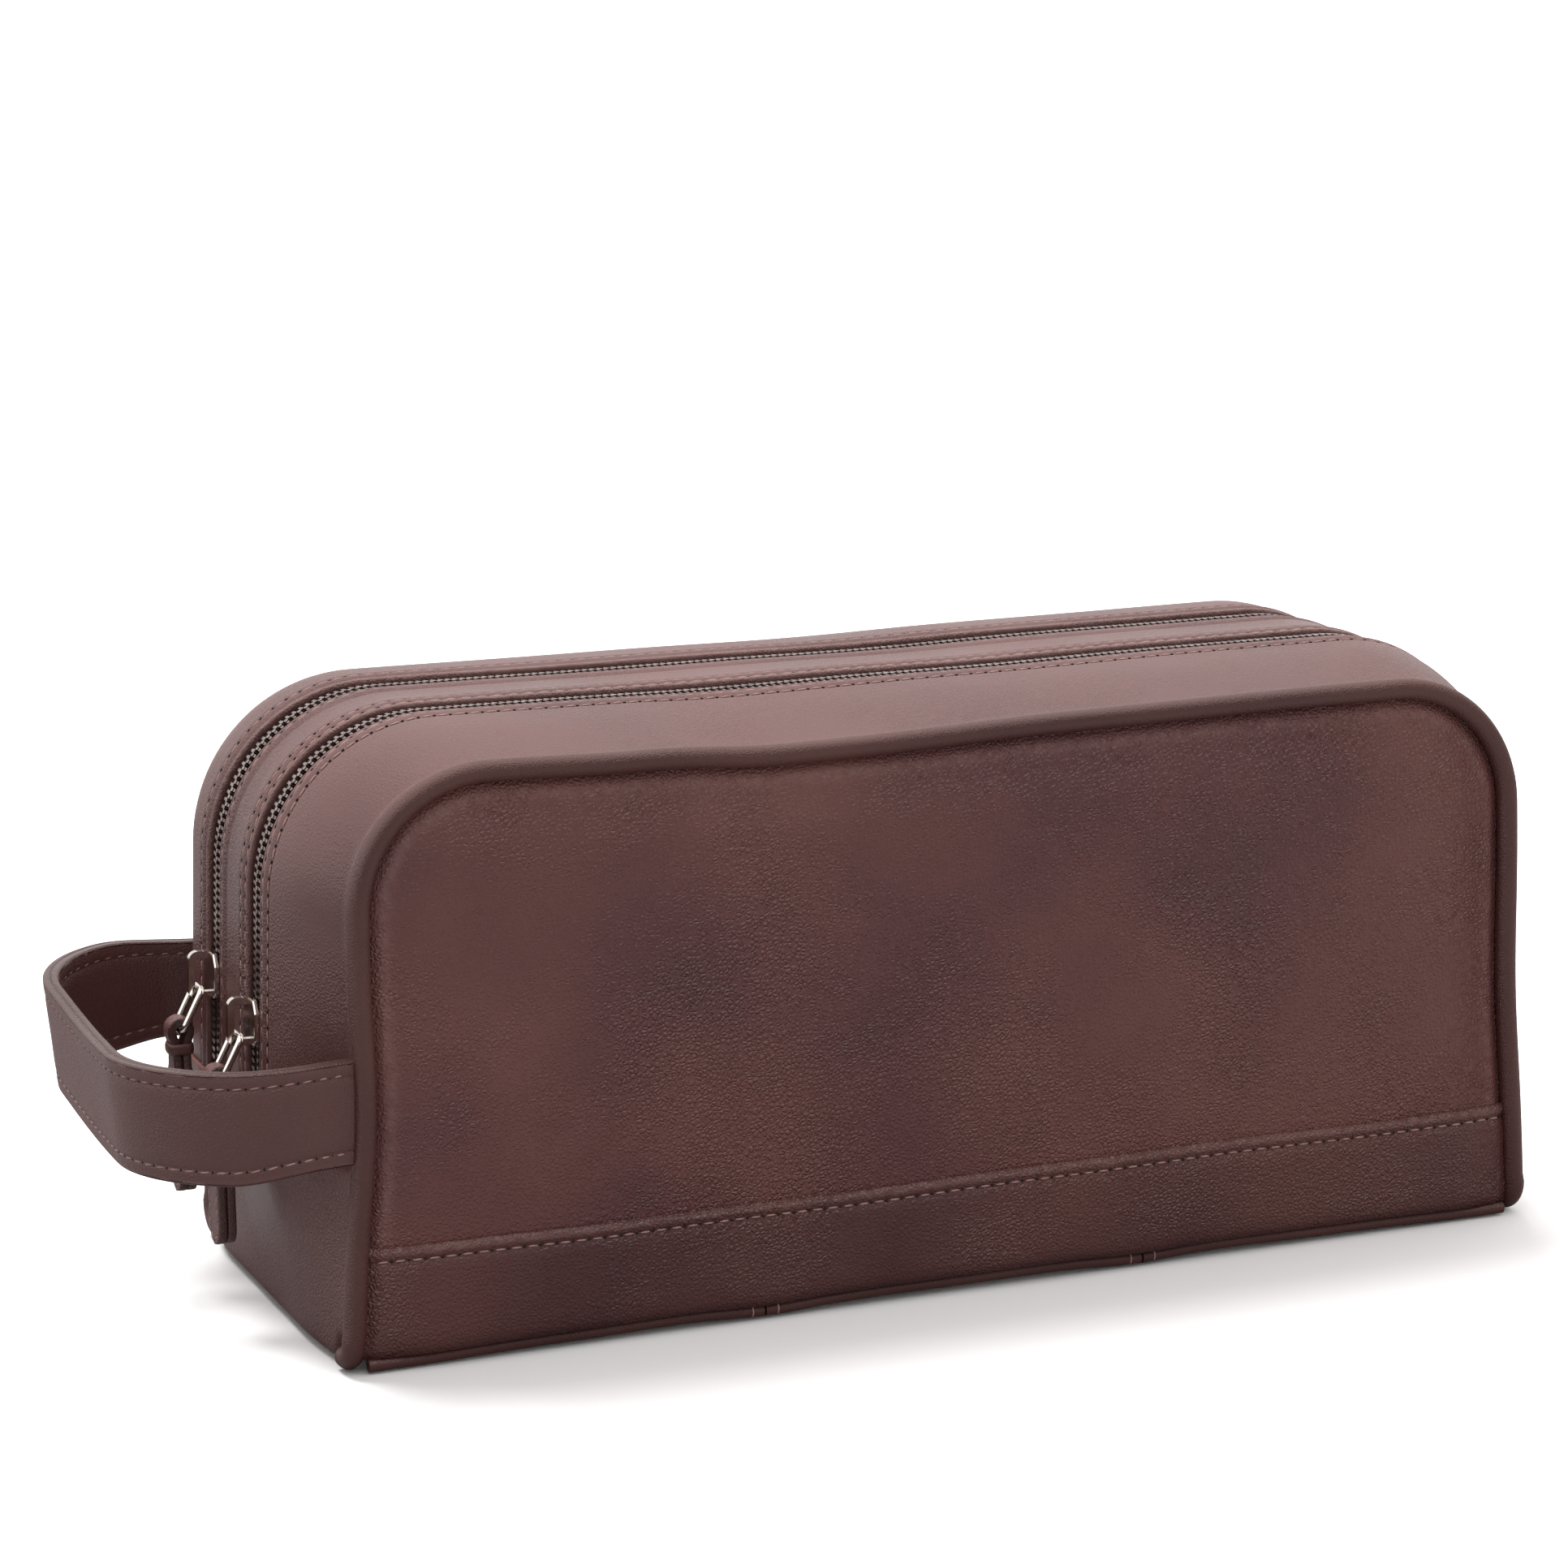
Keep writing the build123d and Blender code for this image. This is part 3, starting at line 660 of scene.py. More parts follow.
# ---- the bag's form
@dataclass(frozen=True)
class BagForm:
    """The surface that the gusset follows round the bag, and how the soft leather settles.

    The belt's place u runs from 0 at the floor on the left end to 1 where the corner starts, 2 where it
    ends and 3 in the middle of the top, then the same way down to 6 at the floor on the right end.
    """

    half_length: float
    half_depth: float
    height: float
    crown_end: float
    crown_top: float
    edge_y: float
    zip_y: float
    seam_z: float
    base_seam_x: float
    lean: float
    corner_r: float = 31.0
    edge_out: float = -1.6
    crown_y: float = 22.0
    back_crown_y: float = 32.0
    back_rise: float = 0.5
    rise_y: float = 35.0
    rise_width: float = 13.0
    foot_swell: float = 0.25
    front_dip: float = 2.1
    back_dip: float = 0.7
    waist: float = 1.9
    waist_z: float = 54.0
    arch: float = 1.2
    leather: float = 1.6

    @classmethod
    def from_frame(cls) -> "BagForm":
        """Reads the bag's sizes from the CAD boxes."""
        piping_low, piping_high = node_box("front_piping_cover")
        _, strip_high = node_box("centre_gusset_strip")
        end_low, end_high = node_box("left_end_panel")
        slide = next(j for j in frame["joints"] if j["name"] == "front_zip_slide")["axis"]
        front_low, front_high = node_box("front_slider")
        return cls(half_length=piping_high[0], half_depth=-piping_low[1], height=piping_high[2],
                   crown_end=-end_low[0] - piping_high[0], crown_top=strip_high[2] - piping_high[2],
                   edge_y=end_high[1], zip_y=-(front_low[1] + front_high[1]) / 2, seam_z=end_high[2],
                   base_seam_x=-end_high[0], lean=slide[0] / slide[2])

    def crown_share(self, y: Array) -> Array:
        """How much of the full swell the gusset has at a depth."""
        level = np.where(np.asarray(y) > 0, self.back_crown_y, self.crown_y)
        return np.sin(np.pi / 2 * np.clip((self.edge_y - np.abs(y)) / (self.edge_y - level), 0, 1))

    def swell(self, y: Array) -> tuple[Array, Array]:
        """How far the gusset stands out past the piping at the ends and on top."""
        share = self.crown_share(y)
        rise = self.back_rise * bump((np.asarray(y) - self.rise_y) / self.rise_width)
        return (self.edge_out + (self.crown_end - self.edge_out) * share,
                self.edge_out + (self.crown_top - self.edge_out) * share + rise)

    def corner(self, y: Array) -> tuple[Array, Array, Array]:
        """The upper corner's radius and its centre, X and Z, at a depth."""
        end, top = self.swell(y)
        radius = self.corner_r + (end + top) / 2
        centre_z = self.height + top - radius
        centre_x = self.half_length + end - self.lean * centre_z - radius * math.hypot(1, self.lean)
        return radius, centre_x, centre_z

    def wall_x(self, y: Array, z: Array) -> Array:
        """Distance of the end wall from the middle: it swells less near the floor."""
        end, _ = self.swell(y)
        fade = self.foot_swell + (1 - self.foot_swell) * ease(z / self.seam_z)
        return self.half_length + self.edge_out + (end - self.edge_out) * fade - self.lean * z

    def start(self, y: Array, z: float) -> Array:
        """The belt's u at a height on the left end."""
        radius, _, centre_z = self.corner(y)
        return z / (centre_z + radius * math.sin(math.atan(self.lean)))

    def belt(self, u: Array, y: Array, lift: Array = 0.0) -> Array:
        """Points of the gusset's face, lifted off it by so much."""
        u, y, lift = np.broadcast_arrays(*(np.asarray(v, float) for v in (u, y, lift)))
        t = np.where(u <= 3, u, 6 - u)
        radius, centre_x, centre_z = self.corner(y)
        _, top = self.swell(y)
        tilt = math.atan(self.lean)
        wall_z = np.clip(t, 0, 1) * (centre_z + radius * math.sin(tilt))
        wall = np.stack([self.wall_x(y, wall_z) + lift * math.cos(tilt), wall_z + lift * math.sin(tilt)])
        angle = tilt + (math.pi / 2 - tilt) * np.clip(t - 1, 0, 1)
        arc = np.stack([centre_x + (radius + lift) * np.cos(angle), centre_z + (radius + lift) * np.sin(angle)])
        roof = np.stack([centre_x * np.clip(3 - t, 0, 1), self.height + top + lift])
        x, z = np.where(t <= 1, wall, np.where(t <= 2, arc, roof))
        return np.stack([np.where(u <= 3, -x, x), y, z], axis=-1)

    def stations(self, y: Array, from_z: float, wall: int = 14, arc: int = 26, roof: int = 44) -> Array:
        """Rows of u from a height on the left end, over the top, to the same height on the right."""
        begin = self.start(np.asarray(y, float), from_z)
        left = [begin + (1 - begin) * i / wall for i in range(wall)]
        left += [1 + i / arc + 0 * begin for i in range(arc)] + [2 + i / roof + 0 * begin for i in range(roof)]
        return np.stack(left + [3 + 0 * begin] + [6 - u for u in reversed(left)])

    def settle(self, points: Array) -> Array:
        """Moves points of the shell the way the soft leather has settled."""
        x, y, z = np.moveaxis(points, -1, 0).copy()
        front = ease((-y - 8) / 44)
        on_top = ease((z - 84) / 34)
        width = np.where(x < -38, 46.0, 66.0)
        dip = self.front_dip * front * bump((x + 38) / width)
        dip += self.back_dip * (1 - front) * bump((x + 15) / 70)
        ripple = 0.32 * front * np.sin(x / 7.4 + 1.0) * bump((x + 58) / 24)
        ripple += 0.18 * np.sin(x / 13 + y / 21) * bump(x / 62)
        z -= on_top * (dip + ripple)
        near_edge = ease((np.abs(y) - 36) / 16)
        waist = self.waist * bump((z - self.waist_z) / 24) * near_edge
        x += np.where(x < -100, waist, 0.0) - np.where(x > 100, 0.6 * waist, 0.0)
        low_edge = ease((np.abs(y) - 44) / 8) * (1 - ease(z / 14))
        arch = self.arch * (1 - np.abs(x / self.half_length) ** 3 - (bump((x + 47) / 11) + bump((x - 42) / 11)) / 2)
        z += low_edge * np.clip(arch, 0, None)
        return np.stack([x, y, z], axis=-1)


@dataclass
class Workshop:
    """What every sub-assembly works with."""

    form: BagForm
    finish: Finishes
    trees: RepeatTrees
    threads: list = field(default_factory=list)

    def hand_over(self, obj: bpy.types.Object, body: str, slot: str, *nodes: str) -> bpy.types.Object:
        """Makes a piece ride on a body in place of some CAD nodes."""
        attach(obj, body)
        if nodes:
            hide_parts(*nodes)
        log.info("%s: %d faces, on %s", obj.name, len(obj.data.polygons), body)
        return obj


STITCH = (2.4, 0.46, 0.44)
STITCH_PITCH = 3.5
# Size of each dark speck of painted shade for a needle puncture.
HOLE_SHADE_SPECK = (0.8, 0.75, 0.4)
SLANT = 0.16


def slanted(places: tuple, angle: float = SLANT) -> tuple:
    """Turns each stitch a little in the leather's surface."""
    points, along, out = places
    across = np.cross(out, along)
    return points, along * math.cos(angle) + across * math.sin(angle), out


def hole_shade_places(places: tuple) -> tuple:
    """A dark speck of painted shade beside the end of each stitch, standing in for the needle's puncture."""
    points, along, out = places
    return points + along * STITCH_PITCH / 2 + out * -0.05, along, out


# ---- leather panels
# Sections across folded and sewn edges: how far from the edge, and how far out.
BAND_FOLD = ((5.6, 1.25), (4.6, 1.2), (3.9, 1.08), (3.4, 0.9), (3.0, 0.82), (2.6, 0.92), (2.2, 1.15), (1.7, 1.32),
             (1.2, 1.36), (0.8, 1.3), (0.4, 1.12), (0.15, 0.85), (0.0, 0.5), (0.05, 0.1))
SLOT_EDGE = ((0.35, -1.5), (0.05, -1.15), (0.0, -0.7), (0.12, -0.2), (0.4, 0.12), (0.8, 0.2), (1.3, 0.02),
             (1.8, -0.26), (2.3, 0.0), (2.9, 0.34), (3.6, 0.42), (4.3, 0.16), (4.8, -0.12), (5.3, -0.26),
             (5.8, -0.1), (6.5, 0.08), (7.5, 0.06), (9.0, 0.0))
SEAM_EDGE = ((-1.5, -0.9), (-0.6, -0.2), (0.1, 0.35), (0.8, 0.42), (1.6, 0.05), (2.6, 0.0))
END_FOLD = ((4.6, 1.0), (3.8, 0.72), (3.2, 0.66), (2.6, 0.72), (2.0, 0.98), (1.3, 1.1), (0.7, 1.08), (0.25, 0.9),
            (0.02, 0.6), (0.0, 0.25), (0.1, 0.0))


@dataclass
class FacePanels:
    """Front and back panels, with the base band sewn over each one's foot."""

    shop: Workshop
    inset: float = 4.6
    pillow: float = 1.5
    roll: float = 15.0
    stitch_drop: float = 3.0
    band: float = 1.2
    fold: float = 7.0
    plain_rows: int = 9
    lining: float = 1.4

    def corner(self) -> tuple[float, float, float]:
        """Radius of the face's upper corners, and their centre's X and Z."""
        form, inset = self.shop.form, self.inset
        radius = form.corner_r - inset
        centre_z = form.height - inset - radius
        return radius, form.half_length - inset - form.lean * centre_z - radius * math.hypot(1, form.lean), centre_z

    def outline(self, foot: float, count: int = 46) -> tuple[Array, Array]:
        """Half-width and height of each row, from the foot to the top."""
        form, inset = self.shop.form, self.inset
        radius, centre_x, centre_z = self.corner()
        z = np.linspace(foot, centre_z, count)
        angle = np.linspace(0, math.pi / 2, 22)[1:]
        return (np.concatenate([form.half_length - inset - form.lean * z, centre_x + radius * np.cos(angle)]),
                np.concatenate([z, centre_z + radius * np.sin(angle)]))

    def edge_distance(self, x: Array, z: Array) -> Array:
        """Distance of a point on the face from the piping."""
        form, inset = self.shop.form, self.inset
        radius, centre_x, centre_z = self.corner()
        side = form.half_length - inset - form.lean * z - np.abs(x)
        corner = radius - np.hypot(np.abs(x) - centre_x, z - centre_z)
        in_corner = (np.abs(x) > centre_x) & (z > centre_z)
        return np.clip(np.where(in_corner, corner, np.minimum(side, form.height - inset - z)), 0, None)

    def relief(self, x: Array, z: Array) -> Array:
        """How far the face stands out from its flat CAD place."""
        near = self.edge_distance(x, z)
        out = self.pillow * ease(near / self.roll) + 0.25 * bump((z - 62) / 40) * bump(x / 90)
        out -= 1.3 * bump(near / 1.6)
        out += 0.22 * np.sin(x / 26 + 0.6) * np.sin(z / 17 + 0.4) * ease(near / 24)
        crease = (x + 88) * 0.82 - (z - 43) * 0.57
        out += 0.42 * np.cos(crease / 2.1) * bump(crease / 6.5) * bump((z - 43 + (x + 88) * 0.6) / 9)
        out += 0.3 * bump((x + 66) / 5.5) * bump((z - 34) / 10) - 0.25 * bump((x - 97) / 9) * bump((z - 70) / 34)
        return out

    def build(self, side: Side) -> None:
        """Makes one side's panel and band, and lays down the band's stitches."""
        shop, name = self.shop, side.name.lower()
        _, face_y, foot = node_box("front_panel")[0]
        share = np.sin(np.linspace(-math.pi / 2, math.pi / 2, 131))
        width, z = self.outline(foot)
        x = width[:, None] * share[None, :]
        z = np.broadcast_to(z[:, None], x.shape)
        outer = np.stack([x, face_y - self.relief(x, z), z], axis=-1)
        inner = np.stack([x, np.full_like(x, face_y + self.lining), z], axis=-1)
        wear = 0.5 * bump((self.edge_distance(x, z) - 3.2) / 1.4)
        # The panel leather is the lighter copy of the band's leather: painted light on the face.
        panel = sheet_piece(f"{name}_panel_leather", *self.placed(side, outer, inner), shop.finish.panel,
                            wear=wear)
        shop.hand_over(panel, "bag", "leather", f"{name}_panel")
        self.build_band(side, share, face_y, foot)

    def placed(self, side: Side, *grids: Array) -> list:
        """Grids made for the front, settled and moved to a side."""
        return [mirrored(self.shop.form.settle(grid), side) for grid in grids]

    def build_band(self, side: Side, share: Array, face_y: float, foot: float) -> None:
        """The base band: a folded upper edge, a stitched valley and a foot that turns under."""
        shop, name = self.shop, side.name.lower()
        top = node_box("front_base_band")[1][2]
        drops, lifts = np.array(BAND_FOLD).T
        z = np.concatenate([np.linspace(foot, top - self.fold, self.plain_rows), top - drops])
        lift = np.concatenate([np.full(self.plain_rows, self.band + 0.05), lifts])
        lift[:2] -= (0.9, 0.2)
        width = shop.form.half_length - self.inset + 0.35 - shop.form.lean * z
        x = width[:, None] * share[None, :]
        z_grid = np.broadcast_to(z[:, None], x.shape)
        wave = 0.25 * np.sin(x / 31) + 0.12 * np.sin(x / 9.5 + 1)
        z_grid = z_grid + wave * ease((z_grid - 14) / 10)
        face = face_y - self.relief(x, z_grid)
        outer = np.stack([x, face - lift[:, None], z_grid], axis=-1)
        inner = np.stack([x, np.maximum(face + 0.1, outer[..., 1] + 0.05), z_grid], axis=-1)
        wear = np.broadcast_to(0.8 * bump((top - z - 1.2) / 0.8)[:, None], x.shape)
        band = sheet_piece(f"{name}_band_leather", *self.placed(side, outer, inner), shop.finish.band,
                           wear=wear)
        shop.hand_over(band, "bag", "leather", f"{name}_base_band")
        row = int(np.argmin(np.abs(drops - self.stitch_drop))) + self.plain_rows
        line = outer[row] + np.array([0.0, -0.06, 0.0])
        line, = self.placed(side, line)
        facing = np.broadcast_to(np.array([0.0, float(side.value), 0.0]), line.shape)
        shop.threads.append(resample(line, facing, STITCH_PITCH, 2.0))


@dataclass
class Gusset:
    """The three strips that run over the bag between the zips."""

    shop: Workshop
    slot_half: float = 4.3
    overhang: float = 1.0
    strip_foot: float = 43.0
    row_in: tuple = (1.8, 5.3)
    seam_in: float = 1.5
    slot_in: float = 0.4

    def section(self, low: float, high: float, low_slot: bool, high_slot: bool) -> tuple[Array, Array, Array]:
        """The strip's section: depth, lift and wear of each column, from low to high."""

        def edge(slot: bool) -> tuple[Array, Array, Array]:
            """Drop, lift and wear across one edge."""
            drops, lifts = np.array(SLOT_EDGE if slot else SEAM_EDGE).T
            return drops, lifts, bump((drops - 0.4) / 0.45) if slot else 0.6 * bump((drops - 0.6) / 0.7)

        low_drop, low_lift, low_wear = edge(low_slot)
        high_drop, high_lift, high_wear = edge(high_slot)
        inner_low, inner_high = low + low_drop[-1], high - high_drop[-1]
        middle = np.linspace(inner_low, inner_high, max(3, int((inner_high - inner_low) / 1.8)))[1:-1]
        flat = np.zeros_like(middle)
        return (np.concatenate([low + low_drop, middle, (high - high_drop)[::-1]]),
                np.concatenate([low_lift, flat, high_lift[::-1]]),
                np.concatenate([low_wear, flat, high_wear[::-1]]))

    def strip(self, name: str, node: str, low: float, high: float, low_slot: bool, high_slot: bool) -> None:
        """One strip with a folded edge at each zip."""
        form = self.shop.form
        y, lift, wear = self.section(low, high, low_slot, high_slot)
        u = form.stations(y, self.strip_foot)
        outer = form.settle(form.belt(u, y, lift))
        low_in, high_in = (self.slot_in if slot else -self.seam_in for slot in (low_slot, high_slot))
        inner_y = np.clip(y, low + low_in, high - high_in)
        inner = form.settle(form.belt(u, inner_y, np.minimum(lift, 0) * 0.2 - form.leather))
        piece = sheet_piece(name, outer, inner, self.shop.finish.gusset, wear=np.broadcast_to(wear, u.shape))
        self.shop.hand_over(piece, "bag", "leather", node)

    def stitch_row(self, y: float, lift: float) -> None:
        """A row of stitches along the belt."""
        form = self.shop.form
        u = form.stations(np.array([y]), form.seam_z + 4, 40, 60, 160)[:, 0]
        line, above = (form.settle(form.belt(u, y, height)) for height in (lift, lift + 1))
        self.shop.threads.append(slanted(resample(line, above - line, STITCH_PITCH, 1.0)))

    def build(self) -> None:
        """Makes the strips and their stitch rows."""
        form, slot = self.shop.form, self.slot_half
        front_near, front_far = -form.zip_y - slot, -form.zip_y + slot + self.overhang
        rear_near, rear_far = form.zip_y - slot, form.zip_y + slot + self.overhang
        self.strip("front_strip_leather", "front_gusset_strip", -form.edge_y, front_near, False, True)
        self.strip("centre_strip_leather", "centre_gusset_strip", front_far, rear_near, True, True)
        self.strip("back_strip_leather", "back_gusset_strip", rear_far, form.edge_y, True, False)
        first, second = self.row_in
        for y in (front_near - first, front_near - second, front_far + first, front_far + second,
                  rear_near - first, rear_far + second):
            self.stitch_row(y, -0.05)


@dataclass
class EndPanels:
    """The plain panels at the two ends, and the base between them."""

    shop: Workshop
    foot_r: float = 4.0
    top_over: float = 2.2
    lap: float = 1.15
    tail_top: float = 5.2
    tail_y: float = 45.5
    tail_fade: float = 3.0
    hem: float = 5.5

    def wall(self, y: Array) -> tuple[Array, Array]:
        """Face and underside of the left end, row by row from the base seam to the top edge."""
        form = self.shop.form
        top = form.seam_z + self.top_over
        raised = self.tail_top * ease((np.abs(y) - self.tail_y) / self.tail_fade)
        rows, normals = [], []

        def add(x: Array, z: Array, nx: float, nz: float) -> None:
            """One row of points, and the way they face."""
            rows.append(np.stack([-x, y, raised + z * (1 - raised / top)], axis=-1))
            normals.append(np.broadcast_to(np.array([-nx, 0.0, nz]), rows[-1].shape))

        foot_x = form.wall_x(y, 0 * y) - self.foot_r
        for i in range(5):
            add(form.base_seam_x + (foot_x - form.base_seam_x) * i / 5, 0 * y, 0.0, -1.0)
        for angle in np.linspace(0, math.pi / 2, 7)[:-1]:
            z = self.foot_r * (1 - math.cos(angle)) + 0 * y
            add(form.wall_x(y, z) - self.foot_r * (1 - math.sin(angle)), z, math.sin(angle), -math.cos(angle))
        plain = np.linspace(self.foot_r, top - self.hem, 16)
        courses = list(zip(plain, self.lap * ease((plain - 28) / 14)))
        courses += [(top - drop, self.lap * lift) for drop, lift in END_FOLD]
        for height, lift in courses:
            z = height + self.top_arch(y) * ease(np.array((height - 30) / 12))
            add(form.wall_x(y, z) + lift, z, 1.0, 0.0)
        outer, normal = np.stack(rows), np.stack(normals)
        inner = outer - normal * form.leather
        inner[-1] = outer[-1] - normal[-1] * 0.1
        return outer, inner

    def top_arch(self, y: Array) -> Array:
        """The upper edge stands a little higher in the middle."""
        return 0.8 * self.shop.form.crown_share(y) - 0.4

    def build(self) -> None:
        """Makes both ends, their seams and the base."""
        shop, form = self.shop, self.shop.form
        y = form.edge_y * np.sin(np.linspace(-math.pi / 2, math.pi / 2, 61)) * 1.018
        outer, inner = self.wall(y)
        wear = np.zeros(outer.shape[:2])
        wear[-5:-2] = 0.7
        for name, sign in (("left_end", 1.0), ("right_end", -1.0)):
            flip = np.array([sign, 1.0, 1.0])
            grids = [form.settle(grid * flip) for grid in (outer, inner)]
            piece = sheet_piece(f"{name}_leather", *grids, shop.finish.gusset, wear=wear)
            shop.hand_over(piece, "bag", "leather", f"{name}_panel")
            line = grids[0][-8, 3:-3]
            facing = np.broadcast_to(np.array([-sign, 0.0, 0.0]), line.shape)
            shop.threads.append(slanted(resample(line + facing * 0.05, facing, STITCH_PITCH, 1.0), 0.1))
        self.build_base()

    def build_base(self) -> None:
        """The base panel, with its long edges turned up beside the welts."""
        shop, form = self.shop, self.shop.form
        low, high = node_box("base_panel")
        x = np.linspace(low[0] - 0.4, high[0] + 0.4, 81)
        share = np.sin(np.linspace(-math.pi / 2, math.pi / 2, 41))
        x_grid, y_grid = np.meshgrid(x, share * (high[1] + 0.2), indexing="ij")
        turned = 1.4 * ease((np.abs(y_grid) - (high[1] - 3.0)) / 3.2)
        sunk = 0.25 * np.cos(x_grid / form.half_length * math.pi / 2) * np.cos(y_grid / form.half_depth * 1.5)
        outer = np.stack([x_grid, y_grid, turned + sunk], axis=-1)
        inner = outer + np.array([0.0, 0.0, form.leather - 0.3])
        base = sheet_piece("base_leather", outer, inner, shop.finish.panel, wear=0.7 * (turned > 0.2))
        shop.hand_over(base, "bag", "leather", "base_panel")
        for seam_x in (x[2], x[-3]):
            y = np.linspace(-46, 46, 60)
            line = np.stack([np.full_like(y, seam_x), y, np.full_like(y, 0.12)], axis=-1)
            facing = np.broadcast_to(np.array([0.0, 0.0, -1.0]), line.shape)
            shop.threads.append(resample(line, facing, STITCH_PITCH))


@dataclass
class Piping:
    """Covered cord round each face, and the thin welt along its foot."""

    shop: Workshop
    tail_bend: float = 5.0
    tail_hidden: float = 3.2
    welt_joins: tuple = (-47.0, 42.5)
    join_gap: float = 0.5
    join_loop: float = 2.9
    loop_lift: float = 0.05
    cord_r: float = 1.3
    radius: float = field(init=False)

    def __post_init__(self) -> None:
        """Reads the covered cord's radius from its CAD pieces."""
        self.radius = node_box("front_piping_cord")[0][0] - node_box("front_piping_cover")[0][0] + self.cord_r

    def route(self) -> Array:
        """Centre line of the front piping, from tail to tail."""
        form, radius = self.shop.form, self.radius
        low, high = node_box("front_piping_cover")
        y, tail_y = low[1] + radius, high[1] - self.tail_hidden
        foot = form.half_length - radius
        bend = np.linspace(0, math.pi / 2, 9)
        left = [np.array([-foot, tail_y - (tail_y - y - self.tail_bend) * i / 3, radius]) for i in range(3)]
        left += [np.array([-foot, y + self.tail_bend * (1 - math.sin(a)), radius + self.tail_bend * (1 - math.cos(a))])
                 for a in bend]
        arc_r = form.corner_r - radius
        centre_z = form.height - radius - arc_r
        centre_x = foot - form.lean * centre_z - arc_r * math.hypot(1, form.lean)
        tilt = math.atan(form.lean)
        start_z, end_z = radius + self.tail_bend, centre_z + arc_r * math.sin(tilt)
        left += [np.array([-(foot - form.lean * z), y, z]) for z in np.linspace(start_z, end_z, 46)[1:-1]]
        left += [np.array([-centre_x - arc_r * math.cos(a), y, centre_z + arc_r * math.sin(a)])
                 for a in np.linspace(tilt, math.pi / 2, 26)]
        left += [np.array([-centre_x * (1 - i / 70), y, form.height - radius]) for i in range(1, 71)]
        left = np.array(left)
        right = left[-2::-1] * np.array([-1.0, 1.0, 1.0])
        return form.settle(np.concatenate([left, right]))

    def build(self, side: Side) -> None:
        """Makes one side's piping, the cord inside it, and its welt."""
        shop, name = self.shop, side.name.lower()
        route = mirrored(self.route(), side)
        cover = shop.trees.cord(f"{name}_piping_leather", [route], self.radius, 20, shop.finish.piping)
        shop.hand_over(cover, "bag", "piping_leather", f"{name}_piping_cover")
        cord = shop.trees.cord(f"{name}_piping_core", [route[1:-1]], self.cord_r, 10, shop.finish.cord)
        shop.hand_over(cord, "bag", "cord", f"{name}_piping_cord")
        self.build_welt(side)

    def build_welt(self, side: Side) -> None:
        """The welt in three lengths, with two thread loops over each join."""
        shop, name = self.shop, side.name.lower()
        low, high = node_box("front_bottom_welt")
        radius, centre = (high[2] - low[2]) / 2, (low + high) / 2
        ends = [low[0], *(x + s * self.join_gap / 2 for x in self.welt_joins for s in (-1, 1)), high[0]]
        lines = []
        for start, stop in zip(ends[::2], ends[1::2]):
            x = np.linspace(start, stop, max(8, int((stop - start) / 3)))
            z = centre[2] + 0.16 * np.sin(x / 8.3) * np.sin(x / 31) + 0.1
            lines.append(np.stack([x, centre[1] + 0 * x, z], axis=-1))
        lines = [mirrored(shop.form.settle(line), side) for line in lines]
        welt = shop.trees.cord(f"{name}_welt_leather", lines, radius, 14, shop.finish.piping)
        shop.hand_over(welt, "bag", "piping_leather", f"{name}_bottom_welt")
        loops = []
        for x in self.welt_joins:
            for turn in (-1, 1):
                angle = np.linspace(0, 2 * math.pi, 13)
                loop_r = radius + self.loop_lift
                loop = np.stack([x + turn * self.join_loop + 0 * angle, centre[1] + loop_r * np.cos(angle),
                                 centre[2] + 0.1 + loop_r * np.sin(angle)], axis=-1)
                loops.append(mirrored(shop.form.settle(loop), side))
        thread = shop.trees.cord(f"{name}_welt_thread", loops, 0.2, 6, shop.finish.thread)
        shop.hand_over(thread, "bag", "piping_leather")


